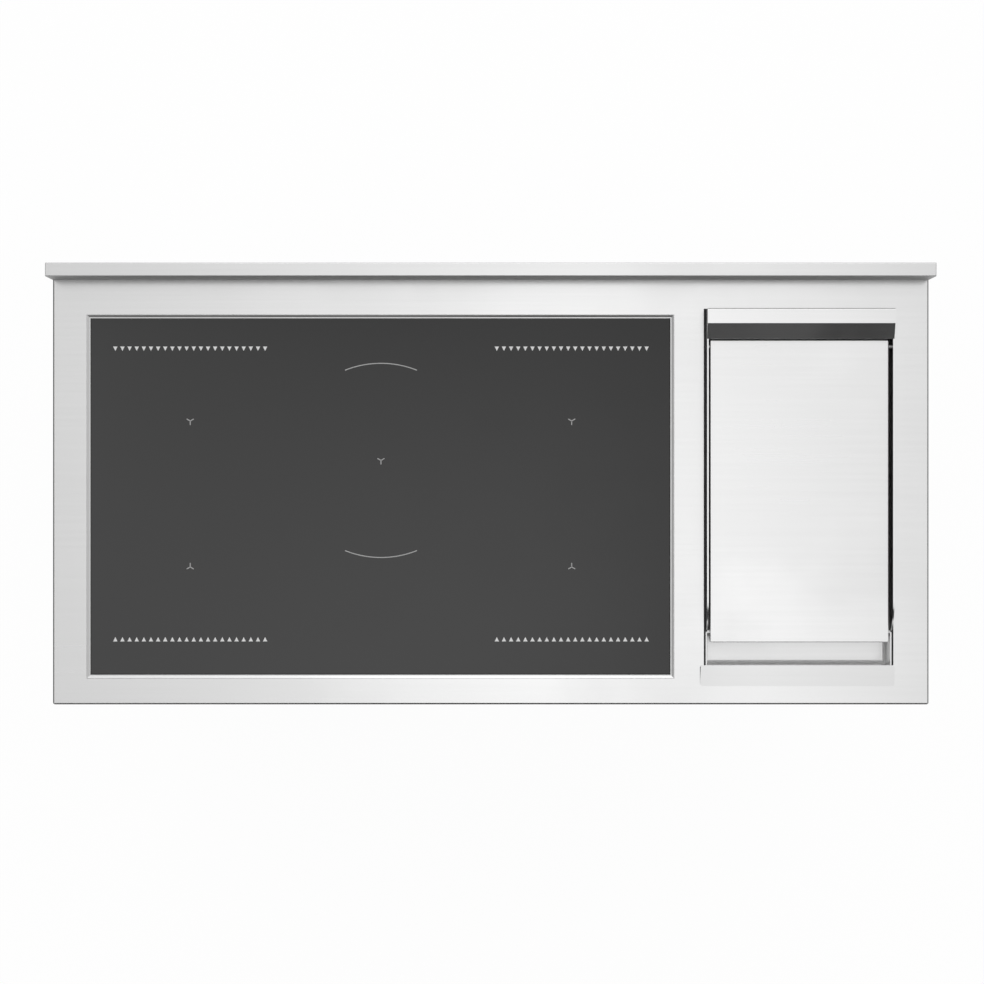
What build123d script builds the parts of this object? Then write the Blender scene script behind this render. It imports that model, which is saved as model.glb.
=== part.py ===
from build123d import *
import math
import os

# Induction range cooker, 1200 mm wide: a steel worktop with a five-zone glass and a lidded griddle,
# two ovens side by side behind drop-down doors, and a storage drawer below them.
# Millimetres. +X is to the cook's right, +Y to the rear, +Z up. The floor is at Z = 0, and the
# origin is under the middle of the worktop.

os.makedirs("parts", exist_ok=True)

# Overall sizes
WIDTH = 1200
DEPTH = 600
HEIGHT = 900
OVERHANG = 48
SIDE_INSET = 4
REAR_INSET = 10
CASE_T = 1.2
FIT = 0.3
RUNNING_FIT = 0.05

# Worktop and backguard
WORKTOP_T = 2
SKIRT_H = 45
WORKTOP_CORNER_R = 3
WORKTOP_EDGE_R = 2.5
BACKGUARD_H = 47
BACKGUARD_D = 18.3
BACKGUARD_T = 1.5
BACKGUARD_EDGE_R = 1.2

# Glass and its frame
GLASS_LEFT_MARGIN = 52.3
GLASS_FRONT_MARGIN = 41.6
GLASS_REAR_MARGIN = 71.5
GLASS_CUTOUT_GAP = 46.3
GLASS_T = 4
GLASS_SINK = 0.5
BEZEL_W = 5.4
BEZEL_GAP = 0.5
BEVEL_LAND = 0.3
BEVEL_W = 3
BEVEL_H = 1.2
LEDGE_W = 11.5
LEDGE_T = 2
FRAME_FLANGE = 10
FRAME_FLANGE_T = 2

# Cooking zones, from the middle of the glass
ZONE_INSET = 135.2
ZONE_DY = 100
ZONE_SHIFT_X = 0.7
ZONE_SHIFT_Y = 3.45
ZONE_R = 95
CENTRE_ZONE_DY = 46
CENTRE_ZONE_R = 130
COIL_T = 6
COIL_BORE_R = 20
CARRIER_T = 2
FERRITE_T = 5
FERRITE_W = 12
FERRITES = 6
FERRITE_INSET = 6
PILLAR_R = 14

# Induction tray, boards and cooling fan
TRAY_H = 35.5
TRAY_T = 1.2
BOARD_COOLER_GAP = 13.3
BOARD_PILLAR_GAP = 35.8
BOARD_D = 260
BOARD_T = 1.6
BOARD_RISE = 6
FILTER_W = 80
FILTER_D = 100
FILTER_DY = 145
HEAT_SINK_W = 60
HEAT_SINK_D = 200
HEAT_SINK_H = 12
COOLER_DY = -118
COOLER_R = 44
COOLER_HUB_R = 16
COOLER_H = 12
COOLER_BLADES = 7
COOLER_SHROUD_R = 47
COOLER_SPOKE_W = 14
COOLER_PIN_R = 2.5
COOLER_PITCH = 32

# Griddle module
CUTOUT_W = 259.6
CUTOUT_RIGHT_MARGIN = 48.6
CUTOUT_FRONT_MARGIN = 54
CUTOUT_REAR_MARGIN = 57.8
CUTOUT_SIDE_GAP = 2.6
CUTOUT_REAR_GAP = 1.5
TUB_T = 1.8
TUB_DEPTH = 38
TUB_FLANGE = 12
TUB_FLOOR_R = 5
TROUGH_D = 38
HOUSING_D = 41.25
HOUSING_H = 27
HOUSING_TOP_D = 20.45
HOUSING_LIP = 38
HOUSING_EDGE_R = 2
GUARD_H = 20
GUARD_FRONT_R = 52
GUARD_ARC_START = 88.05
PLATE_T = 14
PLATE_GAP = 2
PLATE_REAR_GAP = 1.5
PLATE_CHAMFER = 5
PLATE_EDGE_R = 1.5
LID_T = 1.5
LID_SIDE_GAP = 3.5
LID_FRONT_GAP = 32
LID_REAR_GAP = 0.75
LID_REAR_CHAMFER = 5.5
LID_RISE = 7.4
LID_FLANGE = 11
LID_EDGE_R = 1
LID_PIN_R = 2
LID_PIN_RISE = 3
LID_PIN_INSET = 8.5
LID_COLLAR_R = 3.2
REST_TAB_D = 3.5
REST_TAB_W = 7
REST_TAB_T = 2
REST_TAB_INSET = 45.5
DRIP_LIP_H = 1.2
DRIP_LIP_EDGE = 0.2
DRIP_LIP_D = 28.8
DRIP_LIP_LEFT = 5.3
DRIP_LIP_RIGHT = 2
DRIP_LIP_R = 4
ELEMENT_R = 3.5

# Levels of the front, from the floor up
LEG_H = 125
BASE_T = 3
DRAWER_RISE = 6
DRAWER_FRONT_H = 120
FRONT_GAP = 8
PANEL_H = 109

# Depths and widths of the front
DOOR_T = 38
SKIN_T = 1.5
GASKET_T = 6
FRAME_T = 2
FACE_INSET = 6
DIVIDER_INSET = 407
DIVIDER_T = 1.5
DOOR_SIDE_GAP = 6
FLANGE_W = 15

# Ovens
MAIN_OVEN_MARGIN = 63.525
SECOND_OVEN_MARGIN = 55.525
OVEN_REAR_GAP = 84.5
OVEN_LOW_MARGIN = 46
OVEN_HIGH_MARGIN = 60
OVEN_T = 1.5
OVEN_CORNER_R = 3
OVEN_FLANGE = 14
INSULATION_T = 28
ELEMENT_POCKET = 12
GASKET_W = 12
GASKET_OFFSET = 4
RAIL_R = 3
RAIL_PITCH = 70
RAIL_FIRST = 60
RAIL_STEP = 5
SHELF_WIRE_R = 3
SHELF_CORNER_R = 12
SHELF_BAR_R = 1.6
SHELF_BAR_PITCH = 30
GRILL_DROP = 24
GRILL_INSET = 45

# Oven fan
FAN_R = 75
FAN_VANES = 12
FAN_VANE_D = 16
FAN_PLATE_T = 1.2
FAN_HUB_R = 14
FAN_RIM = 3
FAN_SHAFT_R = 4
COVER_W = 360
COVER_MARGIN = 35
COVER_D = 30
COVER_T = 1
COVER_SLOTS = 18
MOTOR_R = 35
MOTOR_L = 40
MOTOR_FOOT_W = 105
MOTOR_FOOT_T = 3
RING_R = 95
RING_TAIL_R = 2.8

# Doors
WINDOW_SIDE = 82
WINDOW_LOW = 70
WINDOW_HIGH = 90
PANE_T = 4
PANE_LAP = 15
LINER_T = 1.2
HINGE_INSET = 34
HINGE_RISE = 10
HINGE_DEPTH = 12
HINGE_PIN_R = 3
EAR_R = 8
EAR_W = 6
EAR_SIDE_GAP = 3
CHEEK_T = 2
CHEEK_H = 18

# Handles
HANDLE_R = 9
HANDLE_STANDOFF = 37
HANDLE_INSET = 70
HANDLE_DROP = 35
DRAWER_HANDLE_DROP = 30
HANDLE_POST_R = 6

# Drawer
DRAWER_SIDE_GAP = 42.8
DRAWER_BOX_H = 90
DRAWER_BOX_RISE = 14
DRAWER_REAR_GAP = 63.8
DRAWER_T = 1.2
RIB_W = 10
RIB_H = 12
RIB_RISE = 18
RUNNER_W = 15
RUNNER_H = 72
RUNNER_REAR_GAP = 24.5
APERTURE_MARGIN = 13

# Legs and plinth
SLEEVE_R = 22
SLEEVE_H = 80
LEG_INSET = 60
FRONT_LEG_SETBACK = 87
REAR_LEG_INSET = 60
FOOT_STEM_R = 18
FOOT_PAD_R = 25
FOOT_PAD_H = 8
PLINTH_INSET = 25
PLINTH_RISE = 12
PLINTH_SETBACK = 62
PLINTH_RETURN = 80

# Controls
CONTROLS = 10
CONTROL_MARGIN = 105
DISPLAY_SLOT = 2
DISPLAY_W = 110
DISPLAY_H = 38
DISPLAY_D = 17
DISPLAY_FLANGE = 4
KNOB_SKIRT_R = 25
KNOB_SKIRT_T = 4
KNOB_R = 19.5
KNOB_L = 34
KNOB_FLUTES = 18
KNOB_FLUTE_R = 2.2
KNOB_RIB_W = 4
KNOB_RIB_H = 1
KNOB_SHAFT_R = 3
SWITCH_W = 44
SWITCH_D = 28
SWITCH_BORE = 20
BUSHING_R = 5.7
DIAL_R = 31
DIAL_W = 4
DIAL_T = 2

# Rear
LOUVRE_W = 60
LOUVRE_H = 5
LOUVRE_PITCH_X = 80
LOUVRE_PITCH_Z = 14
LOUVRE_COLUMNS = 5
LOUVRE_ROWS = 6
LOUVRE_X = -150
VENT_DROP = 110
SCREW_R = 2
SCREW_HEAD_R = 4
SCREW_HEAD_H = 2.5
SCREWS = 5
SCREW_MARGIN = 60
ANTI_TIP_INSET = 150
ANTI_TIP_R = 4.2
ANTI_TIP_DROP = 70
TERMINAL_INSET = 100
TERMINAL_W = 90
TERMINAL_D = 42
TERMINAL_H = 80
TERMINAL_T = 2
GLAND_BORE_R = 11
GLAND_R = 15
GLAND_OUT = 9
GLAND_DROP = 100

# Planes worked out from the sizes
REAR_Y = DEPTH / 2
FRONT_Y = -DEPTH / 2
CASE_X = WIDTH / 2 - SIDE_INSET
CASE_REAR_Y = REAR_Y - REAR_INSET
FACE_X = WIDTH / 2 - FACE_INSET
FACE_Y = FRONT_Y + OVERHANG
DOOR_BACK_Y = FACE_Y + DOOR_T
FRAME_Y = DOOR_BACK_Y + FIT + GASKET_T
OVEN_Y = FRAME_Y + FRAME_T
WORKTOP_UNDER = HEIGHT - WORKTOP_T
SKIRT_BOTTOM = HEIGHT - SKIRT_H
PANEL_BOTTOM = SKIRT_BOTTOM - PANEL_H
BASE_TOP = LEG_H + BASE_T
DRAWER_BOTTOM = BASE_TOP + DRAWER_RISE
DRAWER_TOP = DRAWER_BOTTOM + DRAWER_FRONT_H
DOOR_BOTTOM = DRAWER_TOP + FRONT_GAP
DOOR_TOP = PANEL_BOTTOM - FRONT_GAP
OVEN_FLOOR = DOOR_BOTTOM + OVEN_LOW_MARGIN
OVEN_CEILING = DOOR_TOP - OVEN_HIGH_MARGIN
CASE_INNER_X = CASE_X - CASE_T
FRAME_TOP = SKIRT_BOTTOM - WORKTOP_T
DIVIDER_X = WIDTH / 2 - DIVIDER_INSET
REAR_PANEL_Y = (CASE_REAR_Y - CASE_T, CASE_REAR_Y)


def around(centre, size):
    """Returns the two ends of a span of the given size about its centre."""
    return (centre - size / 2, centre + size / 2)


def grow(span, by):
    """Returns the span made longer at both ends, or shorter where by is negative."""
    return (span[0] - by, span[1] + by)


def block(x, y, z, mode=Mode.ADD):
    """Adds a box between three pairs of coordinates to the piece being built."""
    centre = (sum(x) / 2, sum(y) / 2, sum(z) / 2)
    with Locations(centre):
        Box(x[1] - x[0], y[1] - y[0], z[1] - z[0], mode=mode)


BAR_TURNS = {"x": (0, 90, 0), "y": (90, 0, 0), "z": (0, 0, 0)}


def bars(axis, places, radius, span, mode=Mode.ADD):
    """Adds round bars along axis x, y or z: places gives where they stand on the other two axes."""
    centres = []
    for place in places:
        centre = list(place)
        centre.insert("xyz".index(axis), sum(span) / 2)
        centres.append(tuple(centre))
    with Locations(centres):
        Cylinder(radius, span[1] - span[0], rotation=BAR_TURNS[axis], mode=mode)


def bar(axis, place, radius, span, mode=Mode.ADD):
    """Adds one round bar along axis x, y or z."""
    bars(axis, [place], radius, span, mode)


def save(piece, name):
    """Labels a finished piece and writes its STEP file."""
    piece.part.label = name
    export_step(piece.part, f"parts/{name}.step")


# Spans that several pieces share
CUTOUT_RIGHT = WIDTH / 2 - CUTOUT_RIGHT_MARGIN
CUTOUT_X = (CUTOUT_RIGHT - CUTOUT_W, CUTOUT_RIGHT)
CUTOUT_Y = (FRONT_Y + CUTOUT_FRONT_MARGIN, REAR_Y - CUTOUT_REAR_MARGIN)
GLASS_SPAN_X = (-WIDTH / 2 + GLASS_LEFT_MARGIN, CUTOUT_X[0] - GLASS_CUTOUT_GAP)
GLASS_SPAN_Y = (FRONT_Y + GLASS_FRONT_MARGIN, REAR_Y - GLASS_REAR_MARGIN)
GLASS_X = sum(GLASS_SPAN_X) / 2
GLASS_Y = sum(GLASS_SPAN_Y) / 2
COLLAR_X = grow(GLASS_SPAN_X, BEZEL_W)
COLLAR_Y = grow(GLASS_SPAN_Y, BEZEL_W)
GLASS_TOP = HEIGHT - GLASS_SINK
LEDGE_TOP = GLASS_TOP - GLASS_T
LEDGE_UNDER = LEDGE_TOP - LEDGE_T
OPENING_X = grow(GLASS_SPAN_X, -LEDGE_W)
OPENING_Y = grow(GLASS_SPAN_Y, -LEDGE_W)
TUB_X = grow(CUTOUT_X, -CUTOUT_SIDE_GAP)
TUB_Y = (CUTOUT_Y[0] - TUB_T, CUTOUT_Y[1] - CUTOUT_REAR_GAP)
TUB_INNER_X = grow(TUB_X, -TUB_T)
TUB_INNER_Y = grow(TUB_Y, -TUB_T)
TUB_UNDER = HEIGHT - TUB_DEPTH
TUB_FLOOR = TUB_UNDER + TUB_T
HOUSING_Y = TUB_Y[1] - HOUSING_D
LID_X = grow(TUB_INNER_X, -LID_SIDE_GAP)
LID_Y = (TUB_INNER_Y[0] + LID_FRONT_GAP, HOUSING_Y - LID_REAR_GAP)
LID_TOP = HEIGHT + LID_RISE
LID_PIN_Y = LID_Y[1] - LID_PIN_INSET
LID_PIN_Z = HEIGHT + LID_PIN_RISE


# Worktop
def build_worktop():
    """Builds the folded steel top with its two cut-outs and the drip lip before the griddle."""
    lip_x = (CUTOUT_X[0] - DRIP_LIP_LEFT, CUTOUT_X[1] + DRIP_LIP_RIGHT)
    lip_y = (CUTOUT_Y[0] - DRIP_LIP_D, CUTOUT_Y[0])
    lip_slope = (DRIP_LIP_H - DRIP_LIP_EDGE) / DRIP_LIP_D
    with BuildPart() as drip_lip:
        with BuildSketch(Plane.XY.offset(HEIGHT - WORKTOP_T / 2)):
            with Locations((sum(lip_x) / 2, sum(lip_y) / 2)):
                RectangleRounded(lip_x[1] - lip_x[0], DRIP_LIP_D, DRIP_LIP_R)
        extrude(amount=WORKTOP_T / 2 + 2 * DRIP_LIP_H)
        slope = Plane(origin=(0, lip_y[0], HEIGHT + DRIP_LIP_EDGE), x_dir=(1, 0, 0), z_dir=(0, -lip_slope, 1))
        split(bisect_by=slope, keep=Keep.BOTTOM)
        left_bevel = Plane(origin=(lip_x[0], 0, HEIGHT + DRIP_LIP_EDGE), x_dir=(0, 1, 0), z_dir=(-1, 0, 1))
        split(bisect_by=left_bevel, keep=Keep.BOTTOM)

    with BuildPart() as worktop:
        with BuildSketch(Plane.XY.offset(SKIRT_BOTTOM)):
            RectangleRounded(WIDTH, DEPTH, WORKTOP_CORNER_R)
        extrude(amount=SKIRT_H)
        fillet(worktop.faces().sort_by(Axis.Z)[-1].edges(), WORKTOP_EDGE_R)
        inner_x = grow((-WIDTH / 2, WIDTH / 2), -WORKTOP_T)
        inner_y = grow((FRONT_Y, REAR_Y), -WORKTOP_T)
        block(inner_x, inner_y, (SKIRT_BOTTOM, WORKTOP_UNDER), mode=Mode.SUBTRACT)
        front_return = (inner_y[0], FACE_Y + SKIN_T + FIT)
        block(inner_x, front_return, (SKIRT_BOTTOM, SKIRT_BOTTOM + WORKTOP_T))
        add(drip_lip.part)
        through = (WORKTOP_UNDER, HEIGHT + 2 * DRIP_LIP_H)
        block(grow(COLLAR_X, BEZEL_GAP), grow(COLLAR_Y, BEZEL_GAP), through, mode=Mode.SUBTRACT)
        block(CUTOUT_X, CUTOUT_Y, through, mode=Mode.SUBTRACT)
    save(worktop, "worktop")


def build_backguard():
    """Builds the hollow upstand along the rear of the worktop."""
    x = (-WIDTH / 2, WIDTH / 2)
    y = (REAR_Y - BACKGUARD_D, REAR_Y)
    top = HEIGHT + BACKGUARD_H
    with BuildPart() as backguard:
        block(x, y, (HEIGHT, top))
        fillet(backguard.faces().sort_by(Axis.Z)[-1].edges(), BACKGUARD_EDGE_R)
        block(
            grow(x, -BACKGUARD_T),
            grow(y, -BACKGUARD_T),
            (HEIGHT, top - BACKGUARD_T),
            mode=Mode.SUBTRACT,
        )
    save(backguard, "backguard")


# Glass, its frame and the induction unit
def build_glass_frame():
    """Builds the frame that holds the glass: a bevel runs down from the worktop to a flat rim round the glass."""
    pocket_x = grow(GLASS_SPAN_X, FIT)
    pocket_y = grow(GLASS_SPAN_Y, FIT)
    bevel_end = HEIGHT - BEVEL_H
    with BuildPart() as bevel:
        for inset, level in ((BEVEL_LAND + BEVEL_W, bevel_end), (BEVEL_LAND, HEIGHT)):
            rim_x, rim_y = grow(COLLAR_X, -inset), grow(COLLAR_Y, -inset)
            with BuildSketch(Plane.XY.offset(level)):
                with Locations((GLASS_X, GLASS_Y)):
                    Rectangle(rim_x[1] - rim_x[0], rim_y[1] - rim_y[0])
        loft()

    with BuildPart() as glass_frame:
        block(COLLAR_X, COLLAR_Y, (LEDGE_UNDER, HEIGHT))
        flange_z = (WORKTOP_UNDER - FRAME_FLANGE_T, WORKTOP_UNDER)
        block(grow(COLLAR_X, FRAME_FLANGE), grow(COLLAR_Y, FRAME_FLANGE), flange_z)
        block(pocket_x, pocket_y, (LEDGE_TOP, bevel_end), mode=Mode.SUBTRACT)
        add(bevel.part, mode=Mode.SUBTRACT)
        block(OPENING_X, OPENING_Y, (LEDGE_UNDER, LEDGE_TOP), mode=Mode.SUBTRACT)
    save(glass_frame, "glass_frame")


def build_ceramic_glass():
    """Builds the glass plate with its ground edges."""
    with BuildPart() as ceramic_glass:
        block(GLASS_SPAN_X, GLASS_SPAN_Y, (LEDGE_TOP, GLASS_TOP))
        chamfer(ceramic_glass.faces().sort_by(Axis.Z)[-1].edges(), GLASS_T / 8)
    save(ceramic_glass, "ceramic_glass")


COIL_TOP = LEDGE_TOP - FIT
CARRIER_TOP = COIL_TOP - COIL_T
TRAY_BOTTOM = LEDGE_UNDER - TRAY_H
TRAY_FLOOR = TRAY_BOTTOM + TRAY_T
ZONE_X = GLASS_X + ZONE_SHIFT_X
ZONE_Y = GLASS_Y + ZONE_SHIFT_Y
COOLER_Y = ZONE_Y + COOLER_DY
ZONE_DX = GLASS_SPAN_X[1] - GLASS_X - ZONE_INSET
SIDE_ZONES = [(ZONE_X + dx, ZONE_Y + dy, ZONE_R) for dx in (-ZONE_DX, ZONE_DX) for dy in (-ZONE_DY, ZONE_DY)]
ZONES = SIDE_ZONES + [(ZONE_X, ZONE_Y + CENTRE_ZONE_DY, CENTRE_ZONE_R)]


def build_induction_coils():
    """Builds the five coils, each with its carrier, ferrite bars and pillar, as one solid a zone."""
    carrier = (CARRIER_TOP - CARRIER_T, CARRIER_TOP)
    ferrite_z = carrier[0] - FERRITE_T / 2
    with BuildPart() as induction_coils:
        for x, y, radius in ZONES:
            bar("z", (x, y), radius, (carrier[0], COIL_TOP))
            ferrite_x = (PILLAR_R / 2, radius - FERRITE_INSET)
            with Locations((x, y, ferrite_z)):
                with PolarLocations(sum(ferrite_x) / 2, FERRITES):
                    Box(ferrite_x[1] - ferrite_x[0], FERRITE_W, FERRITE_T)
        centres = [(x, y) for x, y, radius in ZONES]
        bars("z", centres, PILLAR_R, (TRAY_FLOOR, carrier[0]))
        bars("z", centres, COIL_BORE_R, (CARRIER_TOP, COIL_TOP), mode=Mode.SUBTRACT)
    save(induction_coils, "induction_coils")


def build_induction_tray():
    """Builds the tray under the glass, with the shroud, inlet and spindle of its cooling fan."""
    outer_x = grow(OPENING_X, TRAY_T)
    outer_y = grow(OPENING_Y, TRAY_T)
    with BuildPart() as induction_tray:
        block(outer_x, outer_y, (TRAY_BOTTOM, LEDGE_UNDER))
        block(OPENING_X, OPENING_Y, (TRAY_FLOOR, LEDGE_UNDER), mode=Mode.SUBTRACT)
        at = (ZONE_X, COOLER_Y)
        shroud_z = (TRAY_FLOOR, TRAY_FLOOR + COOLER_H)
        bar("z", at, COOLER_SHROUD_R + TRAY_T, shroud_z)
        bar("z", at, COOLER_SHROUD_R, shroud_z, mode=Mode.SUBTRACT)
        with Locations((ZONE_X, COOLER_Y, TRAY_BOTTOM + TRAY_T / 2)):
            Cylinder(COOLER_R, TRAY_T, mode=Mode.SUBTRACT)
            Box(2 * COOLER_SHROUD_R, COOLER_SPOKE_W, TRAY_T)
            Box(COOLER_SPOKE_W, 2 * COOLER_SHROUD_R, TRAY_T)
            Cylinder(COOLER_HUB_R, TRAY_T)
        bar("z", at, COOLER_PIN_R, (TRAY_BOTTOM, TRAY_FLOOR + COOLER_H))
    save(induction_tray, "induction_tray")


def build_induction_boards():
    """Builds the two power boards and the filter board, each with its standoffs and parts."""
    board_z = (TRAY_FLOOR + BOARD_RISE, TRAY_FLOOR + BOARD_RISE + BOARD_T)
    sink_z = (board_z[1], board_z[1] + HEAT_SINK_H)
    filter_y = ZONE_Y + FILTER_DY
    board_start = COOLER_SHROUD_R + TRAY_T + BOARD_COOLER_GAP
    board_end = ZONE_DX - PILLAR_R - BOARD_PILLAR_GAP
    board_dx = (board_start + board_end) / 2
    boards = [
        (ZONE_X - board_dx, ZONE_Y, board_end - board_start, BOARD_D),
        (ZONE_X + board_dx, ZONE_Y, board_end - board_start, BOARD_D),
        (ZONE_X, filter_y, FILTER_W, FILTER_D),
    ]
    with BuildPart() as induction_boards:
        for x, y, width, depth in boards:
            block(around(x, width), around(y, depth), board_z)
            with Locations((x, y, TRAY_FLOOR + BOARD_RISE / 2)):
                with GridLocations(width - 4 * BOARD_RISE, depth - 4 * BOARD_RISE, 2, 2):
                    Cylinder(BOARD_RISE / 2, BOARD_RISE)
        for x in (ZONE_X - board_dx, ZONE_X + board_dx):
            block(around(x, HEAT_SINK_W), around(ZONE_Y, HEAT_SINK_D), sink_z)
            fin_gap = HEAT_SINK_W / 9
            with Locations((x, ZONE_Y, sink_z[1] - HEAT_SINK_H * 0.35)):
                with GridLocations(2 * fin_gap, 1, 4, 1):
                    Box(fin_gap, HEAT_SINK_D, HEAT_SINK_H * 0.7, mode=Mode.SUBTRACT)
        with Locations((ZONE_X, filter_y, (board_z[1] + sink_z[1]) / 2)):
            with GridLocations(FILTER_W / 2, FILTER_D / 2, 2, 2):
                Cylinder(FILTER_W / 8, HEAT_SINK_H)
    save(induction_boards, "induction_boards")


def build_cooling_fan():
    """Builds the rotor that blows air through the induction tray, on an upright pin."""
    rotor_z = (TRAY_FLOOR + FIT, TRAY_FLOOR + COOLER_H - FIT)
    at = (ZONE_X, COOLER_Y)
    blade_l = COOLER_R - COOLER_HUB_R + 2
    middle = (ZONE_X, COOLER_Y, sum(rotor_z) / 2)
    with BuildPart() as cooling_fan_rotor:
        with Locations(middle):
            with PolarLocations(COOLER_HUB_R - 2 + blade_l / 2, COOLER_BLADES):
                Box(blade_l, COOLER_H * 1.2, 1.5, rotation=(COOLER_PITCH, 0, 0))
        bar("z", at, COOLER_HUB_R, rotor_z)
        bar("z", at, COOLER_PIN_R + RUNNING_FIT, rotor_z, mode=Mode.SUBTRACT)
    save(cooling_fan_rotor, "cooling_fan_rotor")


# Griddle module
def build_griddle_tub():
    """Builds the welded tub, with its flange and front wall under the worktop and two rests for the lid."""
    with BuildPart() as hollow:
        block(TUB_INNER_X, TUB_INNER_Y, (TUB_FLOOR, HEIGHT + TUB_T))
        fillet(hollow.faces().sort_by(Axis.Z)[0].edges(), TUB_FLOOR_R)

    rest_top = LID_TOP - LID_FLANGE - FIT
    rest_y = around(TUB_INNER_Y[0] + REST_TAB_INSET, REST_TAB_D)
    with BuildPart() as griddle_tub:
        block(TUB_X, TUB_Y, (TUB_UNDER, HEIGHT))
        flange_z = (WORKTOP_UNDER - TUB_T, WORKTOP_UNDER)
        block(grow(TUB_X, TUB_FLANGE), grow(TUB_Y, TUB_FLANGE), flange_z)
        add(hollow.part, mode=Mode.SUBTRACT)
        under_sheet = (TUB_Y[0], CUTOUT_Y[0] + FIT)
        block(TUB_X, under_sheet, (WORKTOP_UNDER, HEIGHT), mode=Mode.SUBTRACT)
        for wall, inward in ((TUB_INNER_X[0], 1), (TUB_INNER_X[1], -1)):
            tab_x = sorted((wall, wall + inward * REST_TAB_W))
            block(tab_x, rest_y, (rest_top - REST_TAB_T, rest_top))
    save(griddle_tub, "griddle_tub")


def build_splash_guard():
    """Builds the guard round the griddle: two side plates and the sloped rear housing."""
    top = HEIGHT + GUARD_H
    housing_top = HEIGHT + HOUSING_H
    slope_y = TUB_Y[1] - HOUSING_TOP_D
    arc_y = TUB_Y[0] + GUARD_ARC_START
    reach = math.sqrt(GUARD_FRONT_R**2 - (GUARD_FRONT_R - GUARD_H) ** 2)
    lip_bottom = top - HOUSING_LIP
    with BuildPart() as splash_guard:
        for side_x in (TUB_X[0], TUB_INNER_X[1]):
            with BuildSketch(Plane.YZ.offset(side_x)):
                with BuildLine():
                    Polyline(
                        (arc_y - reach, HEIGHT),
                        (TUB_Y[1], HEIGHT),
                        (TUB_Y[1], housing_top),
                        (slope_y, housing_top),
                        (HOUSING_Y, top),
                        (arc_y, top),
                    )
                    TangentArc((arc_y, top), (arc_y - reach, HEIGHT), tangent=(-1, 0))
                make_face()
            extrude(amount=TUB_T)
        with BuildSketch(Plane.YZ.offset(TUB_INNER_X[0])):
            with BuildLine():
                Polyline(
                    (HOUSING_Y, lip_bottom),
                    (HOUSING_Y, top),
                    (slope_y, housing_top),
                    (TUB_Y[1], housing_top),
                    (TUB_Y[1], HEIGHT),
                    (TUB_Y[1] - LID_T, HEIGHT),
                    (TUB_Y[1] - LID_T, housing_top - LID_T),
                    (slope_y + LID_T / 3, housing_top - LID_T),
                    (HOUSING_Y + LID_T, top - LID_T),
                    (HOUSING_Y + LID_T, lip_bottom),
                    close=True,
                )
            make_face()
        extrude(amount=TUB_INNER_X[1] - TUB_INNER_X[0])
        housing_edges = splash_guard.edges().filter_by(Axis.X).group_by(Axis.Z)[-1]
        fillet(housing_edges.group_by(Axis.Y)[-1], HOUSING_EDGE_R)
        bar("x", (LID_PIN_Y, LID_PIN_Z), LID_PIN_R + RUNNING_FIT, TUB_X, mode=Mode.SUBTRACT)
    save(splash_guard, "splash_guard")


def build_griddle_plate():
    """Builds the thick cooking plate that lies on the tub's floor, with a sloped front edge."""
    x = grow(TUB_INNER_X, -PLATE_GAP)
    y = (TUB_INNER_Y[0] + TROUGH_D, HOUSING_Y - PLATE_REAR_GAP)
    with BuildPart() as griddle_plate:
        block(x, y, (TUB_FLOOR, TUB_FLOOR + PLATE_T))
        chamfer(griddle_plate.faces().sort_by(Axis.Z)[0].edges(), PLATE_CHAMFER)
        fillet(griddle_plate.faces().sort_by(Axis.Z)[-1].edges(), PLATE_EDGE_R)
    save(griddle_plate, "griddle_plate")


def serpentine(x, y, z, runs):
    """Returns a heating rod that runs to and fro along y, with both ends at the rear limit."""
    pitch = (x[1] - x[0]) / (runs - 1)
    turn_y = (y[0], y[1] - 2 * pitch / 3)
    points = []
    for run in range(runs):
        ends = turn_y if run % 2 else turn_y[::-1]
        points += [(x[0] + run * pitch, end, z) for end in ends]
    points[0] = (x[0], y[1], z)
    points[-1] = (x[1], y[1], z)
    with BuildPart() as rod:
        with BuildLine():
            FilletPolyline(*points, radius=0.45 * pitch)
        with BuildSketch(Plane(origin=points[0], z_dir=(0, -1, 0))):
            Circle(ELEMENT_R)
        sweep()
    return rod.part


def build_griddle_elements():
    """Builds the two heating rods clipped under the tub."""
    middle_x = sum(TUB_X) / 2
    rod_z = TUB_UNDER - FIT - ELEMENT_R
    rod_y = (OVEN_Y + 4 * ELEMENT_R, HOUSING_Y)
    halves = ((TUB_X[0] + TUB_FLANGE, middle_x - TUB_FLANGE), (middle_x + TUB_FLANGE, TUB_X[1] - TUB_FLANGE))
    rods = [serpentine(half, rod_y, rod_z, 4) for half in halves]
    with BuildPart() as griddle_elements:
        add(rods)
    save(griddle_elements, "griddle_elements")


def build_griddle_lid():
    """Builds the folded lid, with a pin hole in each side flange and room below to swing past the housing."""
    with BuildPart() as griddle_lid:
        block(LID_X, LID_Y, (LID_TOP - LID_FLANGE, LID_TOP))
        fillet(griddle_lid.edges().filter_by(Axis.Z), LID_T)
        fillet(griddle_lid.faces().sort_by(Axis.Z)[-1].edges(), LID_EDGE_R)
        rear_bevel = Plane(origin=(0, LID_Y[1] - LID_REAR_CHAMFER, LID_TOP - LID_FLANGE), z_dir=(0, 1, -1))
        split(bisect_by=rear_bevel, keep=Keep.BOTTOM)
        hollow_z = (LID_TOP - LID_FLANGE, LID_TOP - LID_T)
        block(grow(LID_X, -LID_T), grow(LID_Y, -LID_T), hollow_z, mode=Mode.SUBTRACT)
        bar("x", (LID_PIN_Y, LID_PIN_Z), LID_PIN_R + RUNNING_FIT, LID_X, mode=Mode.SUBTRACT)
    save(griddle_lid, "griddle_lid")


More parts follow.
